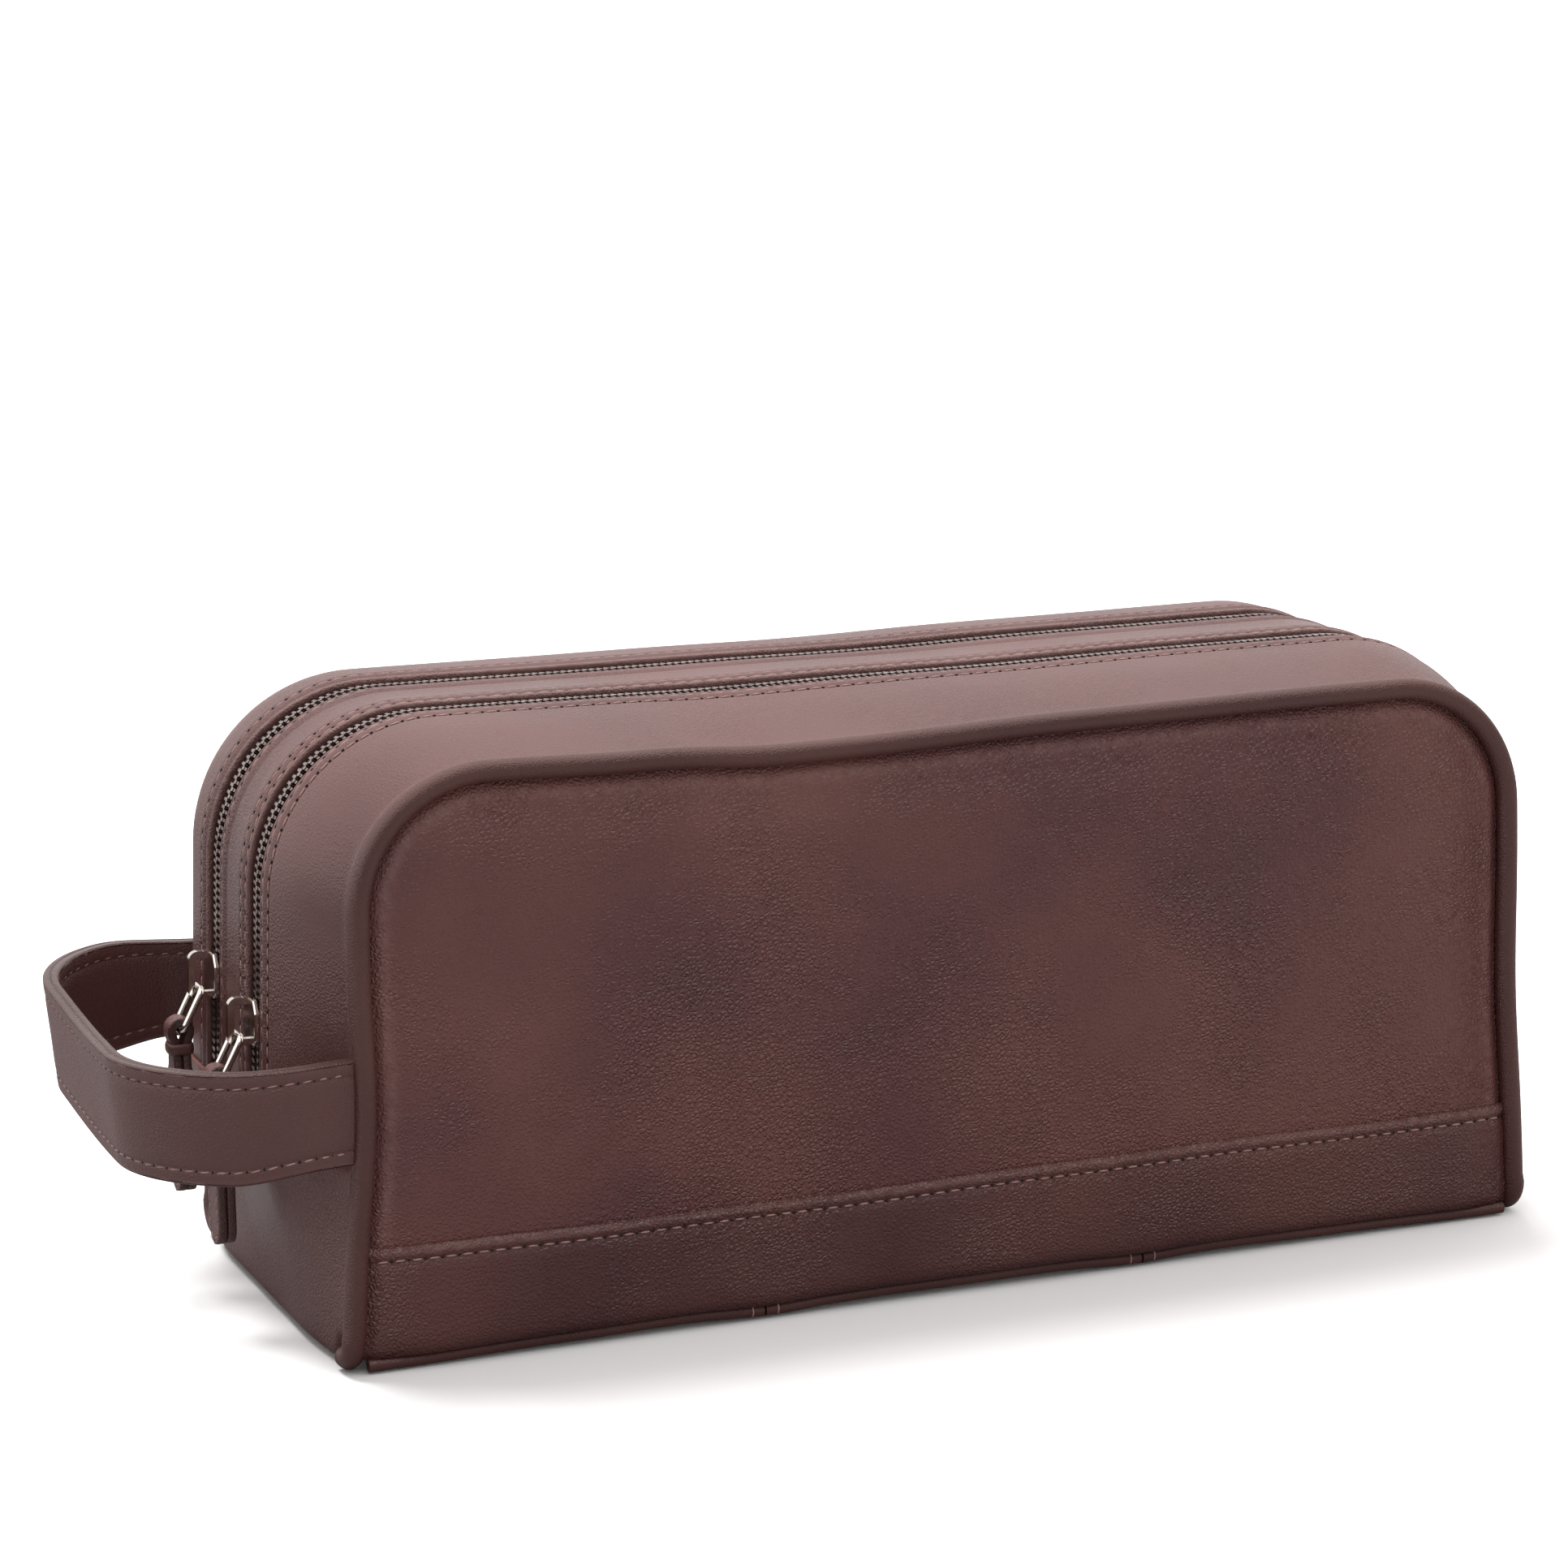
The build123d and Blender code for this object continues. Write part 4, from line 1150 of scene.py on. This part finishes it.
# ---- zips
@dataclass
class ZipRun:
    """One zip: its tapes and toothed rows on the bag, and its leather pull."""

    shop: Workshop
    side: Side
    name: str
    tape_half: float = 10.0
    tape_depth: float = 1.7
    chain_depth: float = 1.35
    row_out: float = 1.05
    pitch: float = 1.67
    tooth: tuple = (1.45, 2.7, 2.1)

    def zip_y(self) -> float:
        """Where this zip lies."""
        return self.side.value * self.shop.form.zip_y

    def build(self) -> None:
        """Makes the tapes, the teeth and the pull."""
        self.build_tapes()
        self.build_teeth()
        PullTab(self.shop, self.name).build()

    def build_tapes(self) -> None:
        """Two woven tapes, the inner edge of each corded under the teeth."""
        form, grids = self.shop.form, []
        foot = node_box(f"{self.name}_zip_tapes")[0][2]
        for turn in (-1, 1):
            across = np.array([0.25, 0.9, 1.6, 2.6, 3.2, 4.5, 6.5, 8.5, self.tape_half])
            y = self.zip_y() + turn * across
            lift = -self.tape_depth + np.array([-0.2, 0.1, 0.25, 0.2, 0.0, 0.0, 0.0, 0.0, 0.0])
            u = form.stations(y, foot, 24, 30, 70)
            outer, inner = (form.settle(form.belt(u, y, lift - depth)) for depth in (0.0, 0.55))
            steps = np.linalg.norm(np.diff(outer, axis=0), axis=2)
            along = np.concatenate([np.zeros((1, len(y))), np.cumsum(steps, axis=0)])
            flow = np.stack([along, np.broadcast_to(across, along.shape), 0 * along], axis=-1)
            grids.append(sheet_piece(f"{self.name}_tape_{'near' if turn < 0 else 'far'}", outer, inner,
                                     self.shop.finish.tape, flow=flow))
        self.shop.hand_over(grids[0], "bag", "zip_tape", f"{self.name}_zip_tapes")
        self.shop.hand_over(grids[1], "bag", "zip_tape")

    def build_teeth(self) -> None:
        """Both rows of teeth, set half a pitch apart, which part below the slider."""
        form, rows = self.shop.form, []
        stop_low = node_box("zip_bottom_stops")[1][2]
        slider_low, slider_high = node_box(f"{self.name}_slider")
        meet = (slider_low[2] + slider_high[2]) / 2
        for turn in (-1, 1):
            u = form.stations(np.array([self.zip_y()]), form.seam_z + 4.5, 120, 120, 260)[:, 0]
            line = form.settle(form.belt(u, self.zip_y(), -self.chain_depth))
            above = form.settle(form.belt(u, self.zip_y(), 1 - self.chain_depth))
            keep = (line[:, 0] < 0) | (line[:, 2] > stop_low)
            line, out = line[keep], (above - line)[keep]
            apart = 1.15 * ease((meet - line[:, 2]) / 7.0) * (line[:, 0] < -100)
            line = line + np.stack([0 * apart, turn * (self.row_out + apart), 0 * apart], axis=-1)
            points, along, facing = resample(line, out, self.pitch)
            if turn > 0:
                points, along = points + along * self.pitch / 2, -along
            rows.append((points, along, facing))
        teeth = self.shop.trees.row(f"{self.name}_zip_teeth", Unit.TOOTH, rows, self.tooth,
                                    self.shop.finish.chain)
        self.shop.hand_over(teeth, "bag", "nickel", f"{self.name}_zip_chain")


@dataclass
class PullTab:
    """A strip of leather folded round the ring, sewn together and held by a keeper."""

    shop: Workshop
    name: str
    sheet: float = 1.9
    leg_out: float = 1.0
    loop_r: float = 2.0
    neck_half: float = 2.3
    neck_foot: float = 12.5
    corner: float = 0.5
    keeper_thick: float = 0.4
    keeper_r: float = 1.2
    stitch_in: float = 1.35
    pitch: float = 2.9
    stitch: tuple = (2.0, 0.5, 0.4)
    # Size of the dark specks of painted shade for the needle punctures.
    hole: tuple = (0.55, 0.55, 0.2)
    pivot: Array = field(init=False)
    length: float = field(init=False)
    half_w: float = field(init=False)

    def __post_init__(self) -> None:
        """Reads the tab's place and size from the frame."""
        low, high = node_box(f"{self.name}_pull_tab")
        self.pivot = joint_place(f"{self.name}_tab_swing")
        self.length, self.half_w = self.pivot[2] - low[2], (high[1] - low[1]) / 2

    def centre_line(self) -> tuple[Array, Array, Array]:
        """Side view of the folded strip: X and drop of its middle, and its half-width."""
        shoulder = self.length - self.half_w
        drop = np.concatenate([np.linspace(0, 1, 9) ** 2 * 4.2, np.linspace(0.6, 1, 4)[1:] * 11, [self.neck_foot],
                               np.linspace(self.neck_foot + 1, shoulder, 9),
                               shoulder + self.half_w * np.sin(np.linspace(0.12, 0.5, 8) * math.pi)])
        out = self.leg_out + (self.loop_r - self.leg_out) * bump(drop / 2.6)
        half = self.neck_half + (self.half_w - self.neck_half) * ease((drop - 6.0) / 5.0)
        tip = np.clip((drop - shoulder) / self.half_w, 0, 0.9985)
        half = half * np.sqrt(1 - tip ** 2)
        angle = np.linspace(math.pi, 0, 13)[1:-1]
        x = np.concatenate([-out[::-1], self.loop_r * np.cos(angle), out])
        z = np.concatenate([-drop[::-1], self.loop_r * np.sin(angle), -drop])
        width = np.concatenate([half[::-1], np.full(len(angle), self.neck_half), half])
        return x, z, width

    def section(self, half: float) -> tuple[Array, Array, Array]:
        """The strip's rounded section: across, through and how much of it is painted edge."""
        thick, corner = self.sheet / 2, min(self.corner, half * 0.9)
        angle = np.linspace(0, math.pi / 2, 4)
        quarter = [(half - corner + corner * math.cos(a), thick - corner + corner * math.sin(a)) for a in angle]
        right = [(a, -b) for a, b in reversed(quarter)] + [(half, 0.0)] + quarter
        faces = [(half * s, 0.0) for s in (0.6, 0.2, -0.2, -0.6)]
        across = [a for a, _ in right] + [a for a, _ in faces] + [-a for a, _ in reversed(right)]
        across += [-a for a, _ in faces]
        through = [b for _, b in right] + [thick] * 4 + [b for _, b in reversed(right)] + [-thick] * 4
        painted = [1.0] * len(right) + [0.0] * 4 + [1.0] * len(right) + [0.0] * 4
        painted[0] = painted[len(right) - 1] = painted[len(right) + 4] = painted[2 * len(right) + 3] = 0.0
        return np.array(across), np.array(through), np.array(painted)

    def build(self) -> None:
        """Makes the strip, its stitches and the keeper."""
        shop, body, pivot = self.shop, f"{self.name}_pull", self.pivot
        x, z, half = self.centre_line()
        step = np.gradient(np.stack([x, z], axis=1), axis=0)
        step /= np.linalg.norm(step, axis=1, keepdims=True)
        normal = np.stack([-step[:, 1], step[:, 0]], axis=1)
        sections, paint = [], []
        for i in range(len(x)):
            across, through, painted = self.section(half[i])
            sections.append(np.stack([pivot[0] + x[i] + normal[i, 0] * through, pivot[1] + across,
                                      pivot[2] + z[i] + normal[i, 1] * through], axis=-1))
            paint.append(painted)
        tab = sweep_piece(f"{self.name}_pull_leather", np.array(sections), shop.finish.strap, edge=np.array(paint))
        shop.hand_over(tab, body, "leather", f"{self.name}_pull_tab")
        self.build_stitches(body)
        self.build_keeper(body)

    def build_stitches(self, body: str) -> None:
        """A row of stitches round the tongue, on both faces."""
        pivot, face = self.pivot, self.leg_out + self.sheet / 2
        half, top = self.half_w - self.stitch_in, -self.neck_foot
        end = -(self.length - self.half_w)
        angle = np.linspace(math.pi, 2 * math.pi, 15)
        y = np.concatenate([[-half] * 12, half * np.cos(angle), [half] * 12])
        z = np.concatenate([np.linspace(top, end, 13)[:-1], end + half * np.sin(angle), np.linspace(end, top, 13)[1:]])
        rows, hole_shade_rows = [], []
        for turn in (-1, 1):
            line = np.stack([pivot[0] + turn * (face - 0.05) + 0 * y, pivot[1] + y, pivot[2] + z], axis=-1)
            facing = np.broadcast_to(np.array([float(turn), 0.0, 0.0]), line.shape)
            places = resample(line, facing, self.pitch)
            rows.append(places)
            hole_shade_rows.append((places[0] + places[1] * self.pitch / 2, places[1], places[2]))
        thread = self.shop.trees.row(f"{self.name}_pull_thread", Unit.THREAD, rows, self.stitch,
                                     self.shop.finish.thread)
        self.shop.hand_over(thread, body, "leather")
        # Dark specks beside the stitches: painted shade of the needle punctures.
        hole_shade_specks = self.shop.trees.row(f"{self.name}_pull_holes", Unit.HOLE, hole_shade_rows, self.hole,
                                   self.shop.finish.hole)
        self.shop.hand_over(hole_shade_specks, body, "leather")

    def build_keeper(self, body: str) -> None:
        """A narrow leather band round the neck."""
        low, high = node_box(f"{self.name}_pull_keeper")
        middle, half = (low + high) / 2, (high - low) / 2
        thick, round_r = self.keeper_thick, self.keeper_r
        corners = [(1, 1, 0.0), (-1, 1, 0.5), (-1, -1, 1.0), (1, -1, 1.5)]
        angles = [(sx, sy, (start + t) * math.pi) for sx, sy, start in corners for t in np.linspace(0, 0.5, 5)]
        sections = []
        for sx, sy, angle in angles:
            cx, cy = sx * (half[0] - thick - round_r), sy * (half[1] - thick - round_r)
            out = np.array([math.cos(angle), math.sin(angle), 0.0])
            at = middle + np.array([cx, cy, 0.0]) + out * round_r
            turns = np.linspace(0, 2 * math.pi, 9)[:-1] + math.pi / 8
            sections.append([at + out * thick * 1.05 * math.cos(t) + np.array([0, 0, half[2] * 1.08 * math.sin(t)])
                             for t in turns])
        keeper = sweep_piece(f"{self.name}_pull_keeper_leather", np.array(sections), self.shop.finish.strap, ring=True)
        self.shop.hand_over(keeper, body, "leather", f"{self.name}_pull_keeper")


# ---- handle
@dataclass
class Handle:
    """Two leather layers sewn together along both edges, bent into a loop."""

    shop: Workshop
    root_x: float = -134.6
    corner: float = 0.5
    stitch_in: float = 3.0
    bend_r: float = 31.0
    tilt: float = 3.7
    lean: float = 1.15
    wobble: float = 0.35
    root_rise: float = 1.5
    root_taper: float = 0.09
    flex: tuple = (-140.0, -160.0)
    layer: float = field(init=False)
    z: float = field(init=False)
    half_h: float = field(init=False)
    out_x: float = field(init=False)
    half_y: float = field(init=False)

    def __post_init__(self) -> None:
        """Reads the strap's sizes from its CAD layers."""
        low, high = node_box("handle_outer_strap")
        inner_low, _ = node_box("handle_inner_strap")
        self.layer = inner_low[0] - low[0]
        self.z, self.half_h = (low[2] + high[2]) / 2, (high[2] - low[2]) / 2
        self.out_x, self.half_y = low[0] + self.layer, high[1] - self.layer

    def build(self) -> None:
        """Makes both layers and the stitches on each side."""
        for name, near, far, node in (("outer", 0.04, self.layer, "handle_outer_strap"),
                                      ("inner", -self.layer, -0.04, "handle_inner_strap")):
            extra = ("handle_front_end", "handle_rear_end") if name == "outer" else ()
            self.build_layer(f"handle_{name}_leather", near, far, node, *extra)
        self.build_stitches()

    def route(self, count: int = 150) -> tuple[Array, Array]:
        """The loop's middle line from the front seam to the back one, and its outward directions."""
        bend = self.out_x + self.bend_r
        corner_y = self.half_y - self.bend_r
        first = [(x, -self.half_y) for x in np.linspace(self.root_x, bend, 20)[:-1]]
        angle = np.linspace(-math.pi / 2, -math.pi, 30)
        first += [(bend + self.bend_r * math.cos(a), -corner_y + self.bend_r * math.sin(a)) for a in angle]
        points = np.array(first + [(self.out_x, 0.0)] + [(x, -y) for x, y in reversed(first)])
        run = np.concatenate([[0], np.cumsum(np.linalg.norm(np.diff(points, axis=0), axis=1))])
        at = np.linspace(0, run[-1], count)
        points = np.stack([np.interp(at, run, points[:, i]) for i in range(2)], axis=1)
        step = np.gradient(points, axis=0)
        step /= np.linalg.norm(step, axis=1, keepdims=True)
        return points, np.stack([-step[:, 1], step[:, 0]], axis=1)

    def hang(self, points: Array) -> tuple[Array, Array, Array]:
        """How the loop hangs: its middle height, its share of full width and its outward lean at the top."""
        back = (points[:, 1] + self.half_y) / (2 * self.half_y)
        sewn = ease((points[:, 0] + 162) / 18)
        level = self.z + self.tilt * ease((back - 0.25) / 0.75) + self.root_rise * sewn * (1 - back)
        return level, 1 - self.root_taper * sewn, self.lean * (1 - sewn)

    def tuck(self, points: Array) -> Array:
        """How far the strap's ends are pressed in behind the piping."""
        return 2.2 * ease((points[:, 0] + 148) / 13)

    def section(self, near: float, far: float) -> tuple[Array, Array, Array]:
        """A layer's section: how far out, how high and how much of it is painted edge."""
        corner, half = self.corner, self.half_h
        outward = far > 0
        face, back = (far, near) if outward else (near, far)
        sign = 1.0 if outward else -1.0
        angle = np.linspace(0, math.pi / 2, 4)
        rise = [(face - sign * corner * (1 - math.cos(a)), half - corner * (1 - math.sin(a))) for a in angle]
        heights = np.array([0.97, 0.93, 0.85, 0.78, 0.735, 0.7167, 0.698, 0.64, 0.5, 0.25]) * half
        dents = np.array([0.0, 0.0, 0.05, 0.02, -0.14, -0.24, -0.14, 0.03, 0.05, 0.02])
        upper = [(face + sign * d, h) for h, d in zip(heights, dents)]
        half_loop = [(face, 0.0)] + upper[::-1] + rise + [(back, half)]
        full = [(o, -h) for o, h in reversed(half_loop[1:])] + half_loop
        out = np.array([o for o, _ in full])
        height = np.array([h for _, h in full])
        painted = (np.abs(height) > half - 0.32).astype(float)
        return out, height, painted

    def build_layer(self, name: str, near: float, far: float, *nodes: str) -> None:
        """One layer of the strap, running from its sewn ends round the loop."""
        points, outward = self.route()
        out, height, painted = self.section(near, far)
        shift = out[None, :] - self.tuck(points)[:, None]
        wobble = self.wobble * np.sin(np.linspace(0, math.pi * 3, len(points)))[:, None]
        level, narrow, lean = self.hang(points)
        shift = shift + lean[:, None] * (height / self.half_h)[None, :]
        x = points[:, 0][:, None] + outward[:, 0][:, None] * shift
        y = points[:, 1][:, None] + outward[:, 1][:, None] * shift
        z = level[:, None] + height[None, :] * narrow[:, None] + wobble
        sections = np.stack([x, y, np.broadcast_to(z, x.shape)], axis=-1)
        wear = np.broadcast_to(0.25 * bump((np.abs(height) - self.half_h + 0.6) / 0.35), x.shape)
        piece = sweep_piece(name, sections, self.shop.finish.strap, wear=wear,
                            edge=np.broadcast_to(painted, x.shape))
        self.flexing(piece, *nodes)

    def flexing(self, obj: bpy.types.Object, *nodes: str) -> None:
        """Bakes a piece's placement into its mesh, hides the CAD nodes it replaces and logs it."""
        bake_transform(obj)
        if nodes:
            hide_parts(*nodes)
        log.info("%s: %d faces, on bag and handle_loop", obj.name, len(obj.data.polygons))

    def build_stitches(self) -> None:
        """Two rows of stitches on each side, with dark specks of painted shade for the needle punctures between them.
        """
        count, ends = 400, slice(5, -5)
        points, outward = (part[ends] for part in self.route(count))
        wobble = self.wobble * np.sin(np.linspace(0, math.pi * 3, count))[ends]
        rows, hole_shade_rows = [], []
        for turn in (-1, 1):
            for level in (-1, 1):
                middle, narrow, lean = self.hang(points)
                tall = level * (self.half_h - self.stitch_in)
                shift = turn * (self.layer - 0.2) - self.tuck(points) + lean * tall / self.half_h
                flat = points + outward * shift[:, None]
                height = middle + tall * narrow + wobble
                line = np.column_stack([flat, height])
                facing = np.column_stack([outward * turn, np.zeros(len(flat))])
                places = resample(line, facing, STITCH_PITCH, 1.0)
                rows.append(slanted(places, 0.1))
                hole_shade_rows.append(hole_shade_places(places))
        thread = self.shop.trees.row("handle_thread", Unit.THREAD, rows, STITCH, self.shop.finish.thread)
        self.flexing(thread)
        # Dark specks of painted shade for the needle punctures.
        hole_shade_specks = self.shop.trees.row("handle_holes", Unit.HOLE, hole_shade_rows, HOLE_SHADE_SPECK, self.shop.finish.hole)
        self.flexing(hole_shade_specks)


# ---- carried-over hardware and inside
class CarriedOver:
    """CAD nodes whose shape is right, dressed in the bag's finishes."""

    def __init__(self, finish: Finishes) -> None:
        """Takes the finishes."""
        self.finish = finish

    def dress(self) -> None:
        """Gives each node its finish."""
        finish = self.finish
        looks = {"zip_bottom_stops": finish.nickel, "zip_top_stops": finish.nickel,
                 "centre_divider": finish.lining, "front_lining": finish.lining,
                 "rear_lining": finish.lining, "base_stiffener": finish.board}
        for name in ("front", "rear"):
            for part in ("slider", "slider_bail", "pull_ring"):
                looks[f"{name}_{part}"] = finish.nickel
        for name, material in looks.items():
            slots = frame["nodes"][name].material_slots
            for slot in slots:
                slot.material = material
            log.info("%s: dressed in %s", name, material.name)


# ---- studio
@dataclass
class Studio:
    """White floor, soft light and the camera."""

    eye: tuple = (-0.3752, -0.8775, 0.2917)
    target: tuple = (-0.0184, 0.0, 0.1035)
    roll: float = math.radians(-0.742)
    lens: float = 99.84
    sky: float = 1.25
    sky_rise: float = 0.1
    sky_left: float = 0.2
    sun: float = 3.7
    sun_way: tuple = (0.14, -0.42, -1.0)
    sun_angle: float = math.radians(30)
    air: tuple = (1.0, 0.985, 0.975, 1.0)
    floor_color: tuple = (0.96, 0.955, 0.955, 1.0)
    floor_bounce: tuple = (0.30, 0.28, 0.28, 1.0)
    floor_z: float = -0.0002
    gloss_low: float = 0.3
    gloss_high: float = 2.2
    gloss_back: float = 1.1
    gloss_side: float = 1.9
    floor_half: float = 60.0

    def build(self) -> None:
        """Makes the floor, the lights and the camera."""
        scene = bpy.context.scene
        scene.view_settings.view_transform = "Standard"
        self.make_floor()
        world = bpy.data.worlds.new("studio")
        scene.world = world
        world.use_nodes = True
        tree = world.node_tree
        way = add_node(tree, "ShaderNodeNewGeometry").outputs["Position"]
        up = add_node(tree, "ShaderNodeSeparateXYZ", None, {0: way})
        shade = between(tree, up.outputs[0], -0.9, -0.1, self.sky_left, 1.0)
        soft = calc(tree, "MULTIPLY", shade, calc(tree, "MULTIPLY_ADD", up.outputs[2], self.sky_rise, self.sky))
        boxes = between(tree, up.outputs[2], 0.5, 0.8, self.gloss_low, self.gloss_high)
        boxes = calc(tree, "MAXIMUM", boxes, between(tree, up.outputs[1], 0.1, 0.5, 0.0, self.gloss_back))
        left = calc(tree, "MULTIPLY_ADD", up.outputs[0], -1.0, calc(tree, "MULTIPLY", up.outputs[2], 0.6))
        boxes = calc(tree, "MAXIMUM", boxes, between(tree, left, 0.75, 1.0, 0.0, self.gloss_side))
        mirror = add_node(tree, "ShaderNodeLightPath").outputs["Is Glossy Ray"]
        gap = calc(tree, "SUBTRACT", boxes, soft)
        level = calc(tree, "MULTIPLY_ADD", mirror, gap, soft)
        tree.nodes["Background"].inputs[0].default_value = self.air
        tree.links.new(level, tree.nodes["Background"].inputs[1])
        light = bpy.data.lights.new("overhead", "SUN")
        light.energy, light.angle = self.sun, self.sun_angle
        lamp = bpy.data.objects.new("overhead", light)
        lamp.rotation_euler = Vector(self.sun_way).to_track_quat("-Z", "Y").to_euler()
        lamp.visible_glossy = False
        scene.collection.objects.link(lamp)
        self.make_camera()

    def make_floor(self) -> None:
        """A plain pale floor, just below the bag."""
        half = self.floor_half
        mesh = bpy.data.meshes.new("floor")
        corners = ((-half, -half), (half, -half), (half, half), (-half, half))
        mesh.from_pydata([(x, y, self.floor_z) for x, y in corners], [], [(0, 1, 2, 3)])
        material, shader = new_material("white floor")
        shader.inputs["Base Color"].default_value = self.floor_color
        shader.inputs["Roughness"].default_value = 0.9
        shader.inputs["Specular IOR Level"].default_value = 0.05
        tree = material.node_tree
        seen = add_node(tree, "ShaderNodeLightPath").outputs["Is Camera Ray"]
        dull = add_node(tree, "ShaderNodeBsdfDiffuse", None, {"Color": self.floor_bounce})
        mixed = add_node(tree, "ShaderNodeMixShader", None, {0: seen, 1: dull.outputs[0], 2: shader.outputs[0]})
        tree.links.new(mixed.outputs[0], tree.nodes["Material Output"].inputs["Surface"])
        mesh.materials.append(material)
        piece_object("floor", mesh)

    def make_camera(self) -> None:
        """The camera, at the bag's usual viewing angle."""
        data = bpy.data.cameras.new("camera")
        data.lens, data.sensor_width, data.clip_end = self.lens, 36.0, 200.0
        forward = (Vector(self.target) - Vector(self.eye)).normalized()
        right = forward.cross(Vector((0, 0, 1))).normalized()
        up = right.cross(forward)
        level, tip = math.cos(self.roll), math.sin(self.roll)
        axes = (right * level + up * tip, up * level - right * tip, -forward)
        camera = bpy.data.objects.new("camera", data)
        camera.matrix_world = Matrix.Translation(self.eye) @ Matrix(axes).transposed().to_4x4()
        bpy.context.scene.collection.objects.link(camera)
        bpy.context.scene.camera = camera


def main() -> None:
    """Builds the bag, piece by piece, and the studio round it."""
    form = BagForm.from_frame()
    log.info("form: %s", form)
    shop = Workshop(form, Finishes.make(), RepeatTrees())
    panels, piping = FacePanels(shop), Piping(shop)
    for side in Side:
        panels.build(side)
        piping.build(side)
    Gusset(shop).build()
    EndPanels(shop).build()
    ZipRun(shop, Side.FRONT, "front").build()
    ZipRun(shop, Side.BACK, "rear").build()
    Handle(shop).build()
    thread = shop.trees.row("bag_thread", Unit.THREAD, shop.threads, STITCH, shop.finish.thread)
    shop.hand_over(thread, "bag", "leather")
    # Dark specks of painted shade for the needle punctures beside every stitch.
    hole_shade_rows = [hole_shade_places(places) for places in shop.threads]
    hole_shade_specks = shop.trees.row("bag_holes", Unit.HOLE, hole_shade_rows, HOLE_SHADE_SPECK, shop.finish.hole)
    shop.hand_over(hole_shade_specks, "bag", "leather")
    CarriedOver(shop.finish).dress()
    Studio().build()


if __name__ == "__main__":
    main()
